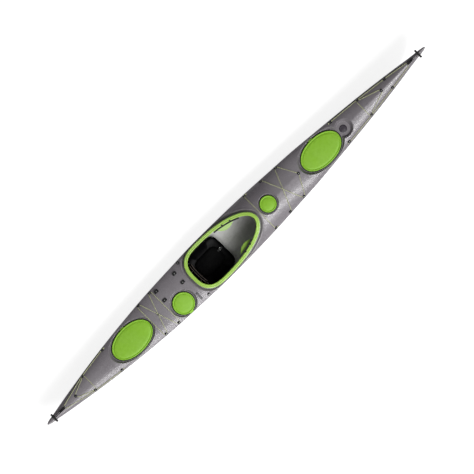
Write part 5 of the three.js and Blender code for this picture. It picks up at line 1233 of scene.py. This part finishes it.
# Deck fittings: bridges of black plastic that the cords pass under, screwed down through the middle.
# Each stands square to the deck. Eleven stand for nodes of the frame, the rest are of the same mould.
FITTING_HALF_LONG, FITTING_HALF_WIDE, FITTING_TALL = 14.0, 13.5, 12.4
TUNNEL_HALF, TUNNEL_TALL = 7.75, 8.5
FITTINGS = {
    "fore_bungee_fitting_aft": (573.3, 217.2), "fore_bungee_fitting_fore": (783.5, 204.9),
    "aft_bungee_fitting_fore": (-1045.6, 214.1), "aft_bungee_fitting_aft": (-1220.3, 202.5),
    "cockpit_line_fitting": (352.3, 231.0), "fore_line_fitting_aft": (1511.0, 137.3),
    "fore_line_fitting_middle": (1864.6, 102.9), "fore_line_fitting_fore": (2210.0, 58.2),
    "aft_line_fitting_fore": (-1801.8, 143.5), "aft_line_fitting_aft": (-2137.6, 96.0),
    "rear_deck_fitting": (-620.0, 225.0)}
TIPS = {"fore_bungee_fitting_tip": 908.0, "fore_park_fitting": 2104.8, "aft_park_fitting": -2321.9}


def fitting_form():
    """Slices along the tunnel: each an arch, its outside a squared oval, its inside the tunnel's opening."""
    t = np.sin(np.linspace(-1, 1, 15) * math.pi / 2)[:, None]
    ease = np.clip(1 - np.abs(t) ** 2.6, 0, 1) ** 0.45
    wide = 10.3 + (FITTING_HALF_WIDE - 10.3) * ease
    tall = 9.6 + (FITTING_TALL - 9.6) * ease
    outer = np.linspace(0, math.pi, 21)[None]
    inner = np.linspace(math.pi, 0, 15)[None]
    c, s = np.cos(outer), np.sin(outer)
    oy, oz = wide * signed_power(c, 0.5), tall * np.abs(s) ** 0.55
    c, s = np.cos(inner), np.sin(inner)
    flare = 1 + 0.05 * np.abs(t) ** 4
    iy = TUNNEL_HALF * flare * signed_power(c, 0.45)
    iz = (TUNNEL_TALL - 0.2) * flare * np.abs(s) ** 0.5
    y = np.concatenate([oy, iy], 1)
    z = np.concatenate([oz, iz], 1)
    z[:, [0, 20, 21, 35]] = -0.5
    x = np.broadcast_to(t * FITTING_HALF_LONG, y.shape)
    return np.stack([x, y, z], -1)


def add_fitting(name, x, y, yaw, node_name=None):
    """A bridge with its screw, square to the deck and turned by the yaw; it may stand for a node."""
    axes = deck_axes(x, y, yaw)
    place = on_deck(x, y)
    form = fitting_form() @ axes.T + place
    bridge = add_ring_mesh(name + "_bridge", form, black_plastic, cap=True, sharp=55)
    if node_name:
        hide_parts(node_name)
    add_screw(name + "_screw", place + axes @ np.array([0, 0, FITTING_TALL - 0.3]), axes)


for name, (x, y) in FITTINGS.items():
    for side, sign in (("port", 1), ("starboard", -1)):
        add_fitting(f"{name}_{side}", x, sign * y, 0.0, f"{name}_{side}" if "bungee" in name else None)
for name, x in TIPS.items():
    add_fitting(name, x, 0.0, math.pi / 2, name)

# Cords: braided polyester in pale olive, drawn taut over the deck and through the fittings.
# Each lies on the deck's curve. Three are knotted where they end, and a bungee humps over itself.
CORD, LANE, TURN, TURN_HOLD, TURN_IN, CORD_END_GAP = 6.0, 4.2, 19.0, 12.0, 8.0, 3.0
CROSS_SHARE, CROSS_LIFT, KNOT = 0.08, 7.0, 5.4


def lay_on_deck(stops):
    """Plan runs between the stops, corners rounded by averaging neighbours, set a radius above the deck."""
    stops = np.array(stops, float)
    along = np.concatenate([[0], np.cumsum(np.linalg.norm(np.diff(stops[:, :2], axis=0), axis=1))])
    at = np.linspace(0, along[-1], int(along[-1] / 4) + 2)
    path = np.stack([np.interp(at, along, stops[:, k]) for k in range(3)], -1)
    for _ in range(8):
        path[1:-1] = (path[:-2] + 2 * path[1:-1] + path[2:]) / 4
    foot = np.concatenate([path[:, :2], dressed_deck(path[:, 0], path[:, 1])[:, None]], 1)
    return foot + deck_normal(path[:, 0], path[:, 1]) * (CORD / 2 + 0.4 + path[:, 2:])


def add_cord(name, path, diameter, material, body="hull", knots=(False, False), sides=10):
    """A tube along the path, swollen into a knot at the ends that ask for one; its UV counts its girths."""
    along = np.concatenate([[0], np.cumsum(np.linalg.norm(np.diff(path, axis=0), axis=1))])
    radius = np.full(len(path), diameter / 2)
    for wanted, off in zip(knots, (along, along[-1] - along)):
        if wanted:
            lump = np.exp(-((off - 5) / 3.2) ** 2) + 0.8 * np.exp(-((off - 11) / 3.0) ** 2)
            radius = radius + (KNOT - diameter / 2) * np.clip(lump, 0, 1)
    rings = tube_rings(path, radius, sides)
    rows = len(path)
    faces = grid_faces(rows, sides, wrap_columns=True)
    row, column = faces[:, 0] // sides, faces[:, 0] % sides
    u = along / (math.pi * diameter)
    v = np.stack([column, column, column + 1, column + 1], -1) / sides
    uv = np.stack([u[np.stack([row, row + 1, row + 1, row], -1)], v], -1).reshape(-1, 2)
    caps = [list(range(sides))[::-1], list(range((rows - 1) * sides, rows * sides))]
    uv = np.concatenate([uv, np.zeros((2 * sides, 2))])
    cord = add_mesh(name, rings.reshape(-1, 3), faces.tolist() + caps, material, body, uv=uv)
    tidy(cord, sharp=60)
    return cord


def through(key, side, way):
    """Stops of a cord that runs along through a gunwale fitting, arriving and leaving from inboard."""
    x, y = FITTINGS[key][0], FITTINGS[key][1] * side
    return [[x - way * TURN, y - side * TURN_IN, 0], [x - way * TURN_HOLD, y, 0],
            [x + way * TURN_HOLD, y, 0], [x + way * TURN, y - side * TURN_IN, 0]]


def around_tip(key, way):
    """Stops of a cord that runs across through a middle fitting, arriving and leaving from one side of it."""
    x = TIPS[key]
    beside = x - way * TURN_IN
    return [[beside, -TURN, 0], [x, -TURN_HOLD, 0], [x, TURN_HOLD, 0], [beside, TURN, 0]]


def cross_over(start, end):
    """A run that climbs over the cord it crosses at its middle."""
    shares, lifts = (0.5 - CROSS_SHARE, 0.5, 0.5 + CROSS_SHARE), (0, CROSS_LIFT, 0)
    hump = [[a + (b - a) * share for a, b in zip(start[:2], end[:2])] + [lift]
            for share, lift in zip(shares, lifts)]
    return [start, *hump, end]


def fore_bungee_stops():
    """From the aft port fitting across and round the tip, then back over itself to the aft starboard one."""
    x, y = FITTINGS["fore_bungee_fitting_aft"]
    first, last = through("fore_bungee_fitting_aft", 1, 1)[2:], through("fore_bungee_fitting_aft", -1, -1)[:2]
    out, home = through("fore_bungee_fitting_fore", -1, 1), through("fore_bungee_fitting_fore", 1, -1)
    return [[x, y, 0], *first, *out, *around_tip("fore_bungee_fitting_tip", 1), *home[:3],
            *cross_over(home[3], last[0]), last[1], [x, -y, 0]]


def aft_bungee_stops():
    """A round of the four fittings that ends where it starts; its second diagonal passes over the first."""
    x, y = FITTINGS["aft_bungee_fitting_aft"]
    diagonal, home = through("aft_bungee_fitting_fore", -1, -1), through("aft_bungee_fitting_aft", 1, -1)
    return [[x - CORD_END_GAP, y, 0], *home[2:], *through("aft_bungee_fitting_aft", -1, 1),
            *through("aft_bungee_fitting_fore", 1, 1), *diagonal[:3], *cross_over(diagonal[3], home[0]),
            home[1], [x + CORD_END_GAP, y, 0]]


def park_stops(key, tip, way):
    """Across between two gunwale fittings and on to a middle fitting, inboard of the perimeter line."""
    x, y = FITTINGS[key]

    def stop(along, drawn_in, side):
        return [x + way * along, side * (y - LANE - drawn_in), 0]

    return [stop(-CORD_END_GAP, 0, 1), stop(-TURN_HOLD, 0, 1), stop(-TURN, TURN_IN, 1),
            stop(-TURN, TURN_IN, -1), stop(-TURN_HOLD, 0, -1), stop(TURN_HOLD, 0, -1),
            stop(TURN, TURN_IN, -1), *around_tip(tip, way),
            stop(TURN, TURN_IN, 1), stop(TURN_HOLD, 0, 1), stop(CORD_END_GAP, 0, 1)]


def cockpit_line_stops():
    """Straight across in front of the cockpit, from a knot at one fitting to a knot at the other."""
    x, y = FITTINGS["cockpit_line_fitting"]
    half = [[x + TURN_HOLD + 16, y, 0], [x, y, 0], [x - TURN_IN, y - TURN_IN, 0], [x - TURN_IN, y - TURN, 0]]
    return half + [[a, -b, lift] for a, b, lift in half[::-1]]


def perimeter_stops(keys, way):
    """Along the gunwale through its fittings and across through the end fitting, with a knot at each end."""
    places = [FITTINGS[key] for key in keys]
    tunnel = HALF - 197.0 - 44.0
    half = [[places[0][0] - way * 30, places[0][1] + LANE, 0], *[[x, y + LANE, 0] for x, y in places],
            [way * (tunnel - 26), 20, 0], [way * (tunnel - 2), 13, 0], [way * tunnel, 6.5, 0]]
    return half + [[x, -y, lift] for x, y, lift in half[::-1]]


BRAID_TURNS = (28.0, 6 * math.pi, 0.0)
deck_cord = make_finish(
    "deck_cord", (0.60, 0.62, 0.38), (0.50, 0.53, 0.28), 2.0, 0.5, threads=(BRAID_TURNS, 0.0006, 0.6),
    coords="UV", Roughness=0.7)
fore_keys = ("fore_line_fitting_aft", "fore_line_fitting_middle", "fore_line_fitting_fore")
aft_keys = ("aft_line_fitting_fore", "aft_line_fitting_aft")
CORDS = {
    "fore_bungee": (fore_bungee_stops(), False), "aft_bungee": (aft_bungee_stops(), False),
    "fore_park_line": (park_stops("fore_line_fitting_middle", "fore_park_fitting", 1), False),
    "aft_park_line": (park_stops("aft_line_fitting_aft", "aft_park_fitting", -1), False),
    "cockpit_cross_line": (cockpit_line_stops(), True),
    "fore_perimeter_line": (perimeter_stops(fore_keys, 1), True),
    "aft_perimeter_line": (perimeter_stops(aft_keys, -1), True)}
for name, (stops, knotted) in CORDS.items():
    cord = add_cord(name + "_laid", lay_on_deck(stops), CORD, deck_cord, knots=(knotted, knotted))
    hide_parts(name)
BEAD_RADIUS, BEAD_PLACE = 7, on_deck(-1139.0, -6.0) + [0, 0, CORD + 3]
BEAD_ROWS = [[5.5, -6], [2.2, -5], [0.4, -2.6], [0, 0], [0.4, 2.6], [2.2, 5], [5.5, 6]]
bead = slab_rings(BEAD_RADIUS, BEAD_RADIUS, BEAD_ROWS, 2, 20) + BEAD_PLACE
cord_bead = add_ring_mesh("cord_bead", bead, black_plastic, cap=True)

# Skeg cable: its sheath bends in one smooth line from the deck track down along the starboard side
# to the skeg's box.
CABLE_STOPS = np.array([
    [-703, -178, 224], [-706, -192, 196], [-722, -207, 160], [-760, -213, 132], [-820, -213, 120],
    [-900, -206, 114], [-980, -194, 110], [-1060, -180, 108], [-1120, -168, 106], [-1200, -146, 102],
    [-1280, -116, 98], [-1340, -84, 94], [-1390, -50, 91], [-1425, -20, 89], [-1442, -5, 88],
    [-1454.6, 0, 88]], float)


def smooth_path(stops, step):
    """A curve through the stops: the cubic that joins them with slopes from each stop's two neighbours."""
    ends = np.concatenate([[2 * stops[0] - stops[1]], stops, [2 * stops[-1] - stops[-2]]])
    pieces = []
    for a, b, c, d in zip(ends[:-3], ends[1:-2], ends[2:-1], ends[3:]):
        t = np.arange(0, 1, step / max(np.linalg.norm(c - b), step))[:, None]
        bend = (2 * a - 5 * b + 4 * c - d) * t ** 2 + (3 * b - a - 3 * c + d) * t ** 3
        pieces.append(0.5 * (2 * b + (c - a) * t + bend))
    return np.concatenate([*pieces, stops[-1:]])


cable = add_cord("skeg_cable_sheath", smooth_path(CABLE_STOPS, 8), 5.0, cable_sheath)
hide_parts("skeg_cable")

# Seat fastenings: two cap screws through the pan's back edge, and a short strap of webbing with a
# slanted steel buckle that holds the pad's front corner down.
webbing = make_finish(
    "webbing", (0.006, 0.006, 0.006), (0.010, 0.010, 0.010), 40.0,
    threads=((2400.0, 1200.0, 0.0), 0.0003, 0.5), Roughness=0.8)
for side, y in (("port", 60.0), ("starboard", -75.0)):
    add_screw(f"seat_screw_{side}", np.array([-584.5, y, SEAT_Z + 96.6]), radius=6.5)
STRAP_Y, STRAP_HALF_WIDE, STRAP_HALF_THICK = 22.0, 10.0, 0.8
STRAP_STOPS = [
    [-252, STRAP_Y, 33.2], [-240, STRAP_Y, 33.6], [-226, STRAP_Y, 32.0], [-214, STRAP_Y, 25.0],
    [-205, STRAP_Y, 18.5], [-196, STRAP_Y, 17.5], [-186, STRAP_Y, 24.0], [-178, STRAP_Y, 40.0]]
strap_line = smooth_path(np.array(STRAP_STOPS) + [0, 0, SEAT_Z], 3)
strap_side = np.array([0, STRAP_HALF_WIDE, 0])
strap_up = np.cross([0, 1.0, 0], np.gradient(strap_line, axis=0))
strap_up *= STRAP_HALF_THICK / np.linalg.norm(strap_up, axis=1, keepdims=True)
strap_corners = ((-1, -1), (1, -1), (1, 1), (-1, 1))
strap_rings = np.stack([strap_line + a * strap_side + b * strap_up for a, b in strap_corners], 1)
pad_strap = add_ring_mesh("pad_strap", strap_rings, webbing, cap=True, sharp=40)
BUCKLE_HALF_LONG, BUCKLE_HALF_WIDE, BUCKLE_WIRE = 15, 9, 1.9
BUCKLE_TURN, BUCKLE_PLACE = math.radians(38), np.array([-212.0, 24.0, SEAT_Z + 30.0])
buckle_line = slab_rings(BUCKLE_HALF_LONG, BUCKLE_HALF_WIDE, [[0, 0]], 4, 48)[0]
c, s = math.cos(BUCKLE_TURN), math.sin(BUCKLE_TURN)
buckle_turn = np.array([[c, -s, 0], [s, c, 0], [0, 0, 1]])
buckle_line = np.concatenate([buckle_line, buckle_line[:3]]) @ buckle_turn.T
buckle_rings = tube_rings(buckle_line + BUCKLE_PLACE, BUCKLE_WIRE, 10)[1:-2]
pad_buckle = add_ring_mesh("pad_buckle", buckle_rings, stainless)

# Bow and stern ends: a moulded fitting with an upright ear, and a ribbed grip on a black cord loop
# that hangs in the ear's eye and swings up to carry the boat.
loop_cord = make_finish(
    "loop_cord", (0.008, 0.008, 0.008), (0.016, 0.016, 0.016), 2.0, 0.5, threads=(BRAID_TURNS, 0.0006, 0.45),
    coords="UV", Roughness=0.7)
END_PLACE = {
    "bow": ([2533.0, 0, 431.977], [2632.0, 0, 454.3], 0.99408, 0.10869),
    "stern": ([-2533.0, 0, 376.696], [-2632.0, 0, 395.1], -0.99756, 0.06986)}
GRIP_RADIUS, GRIP_SIDE, LOOP_CORD, EAR_BESIDE, EYE_Z = 11.0, 7.0, 5.0, 7.4, 17.0
GRIP_ENDS = np.array([49, 50.6, 51.6, 52])
RIB_PITCH, RIB_DEEP, RIBS_FROM, RIBS_TO, DOME_FROM, DOME_LONG = 8, 0.75, 14, 42, 44, 8
for end, (place, bar, ahead, tilt) in END_PLACE.items():
    way = np.sign(ahead)
    axes = np.array([[ahead, 0, -way * tilt], [0, way, 0], [tilt, 0, abs(ahead)]])
    softened(f"{end}_end_fitting", black_plastic, 1.4)
    for number, along in enumerate((-56.0, 23.0)):
        add_screw(f"{end}_fitting_screw_{number + 1}", place + axes @ np.array([along, 0, 9.6]), axes)
    t = np.concatenate([-GRIP_ENDS[::-1], np.linspace(-47, 47, 95), GRIP_ENDS])
    waves = RIB_DEEP * (0.5 - 0.5 * np.cos(2 * math.pi * t / RIB_PITCH))
    ribs = waves * (np.abs(t) > RIBS_FROM) * (np.abs(t) < RIBS_TO)
    dome = GRIP_RADIUS * (1 - np.clip((np.abs(t) - DOME_FROM) / DOME_LONG, 0, 1) ** 2.6) ** 0.5
    line = np.stack([np.full(len(t), bar[0]), t, np.full(len(t), bar[2])], -1)
    grip = tube_rings(line, np.maximum(dome - ribs, 0.2), 28)
    grip_bar = add_ring_mesh(f"{end}_grip", grip, rim_rubber, f"{end}_toggle", cap=True)
    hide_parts(f"{end}_toggle")
    local = (np.array(bar) - place) @ axes
    edge = local[0] - GRIP_RADIUS
    leg = np.array([
        [edge + 2.5, GRIP_SIDE, local[2]], [edge - 8, GRIP_SIDE, local[2]],
        [edge * 0.6, 0.5 * (EAR_BESIDE + GRIP_SIDE), 24], [26, EAR_BESIDE, EYE_Z + 3.4],
        [12, EAR_BESIDE, EYE_Z + 0.6], [5, EAR_BESIDE - 0.6, EYE_Z], [1, EAR_BESIDE - 3.6, EYE_Z]])
    stops = np.concatenate([leg, [[0, 0, EYE_Z]], leg[::-1] * [1, -1, 1]])
    path = smooth_path(stops, 2.5) @ axes.T + place
    loop = add_cord(f"{end}_grip_loop", path, LOOP_CORD, loop_cord, f"{end}_toggle")
    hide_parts(f"{end}_toggle_loop")
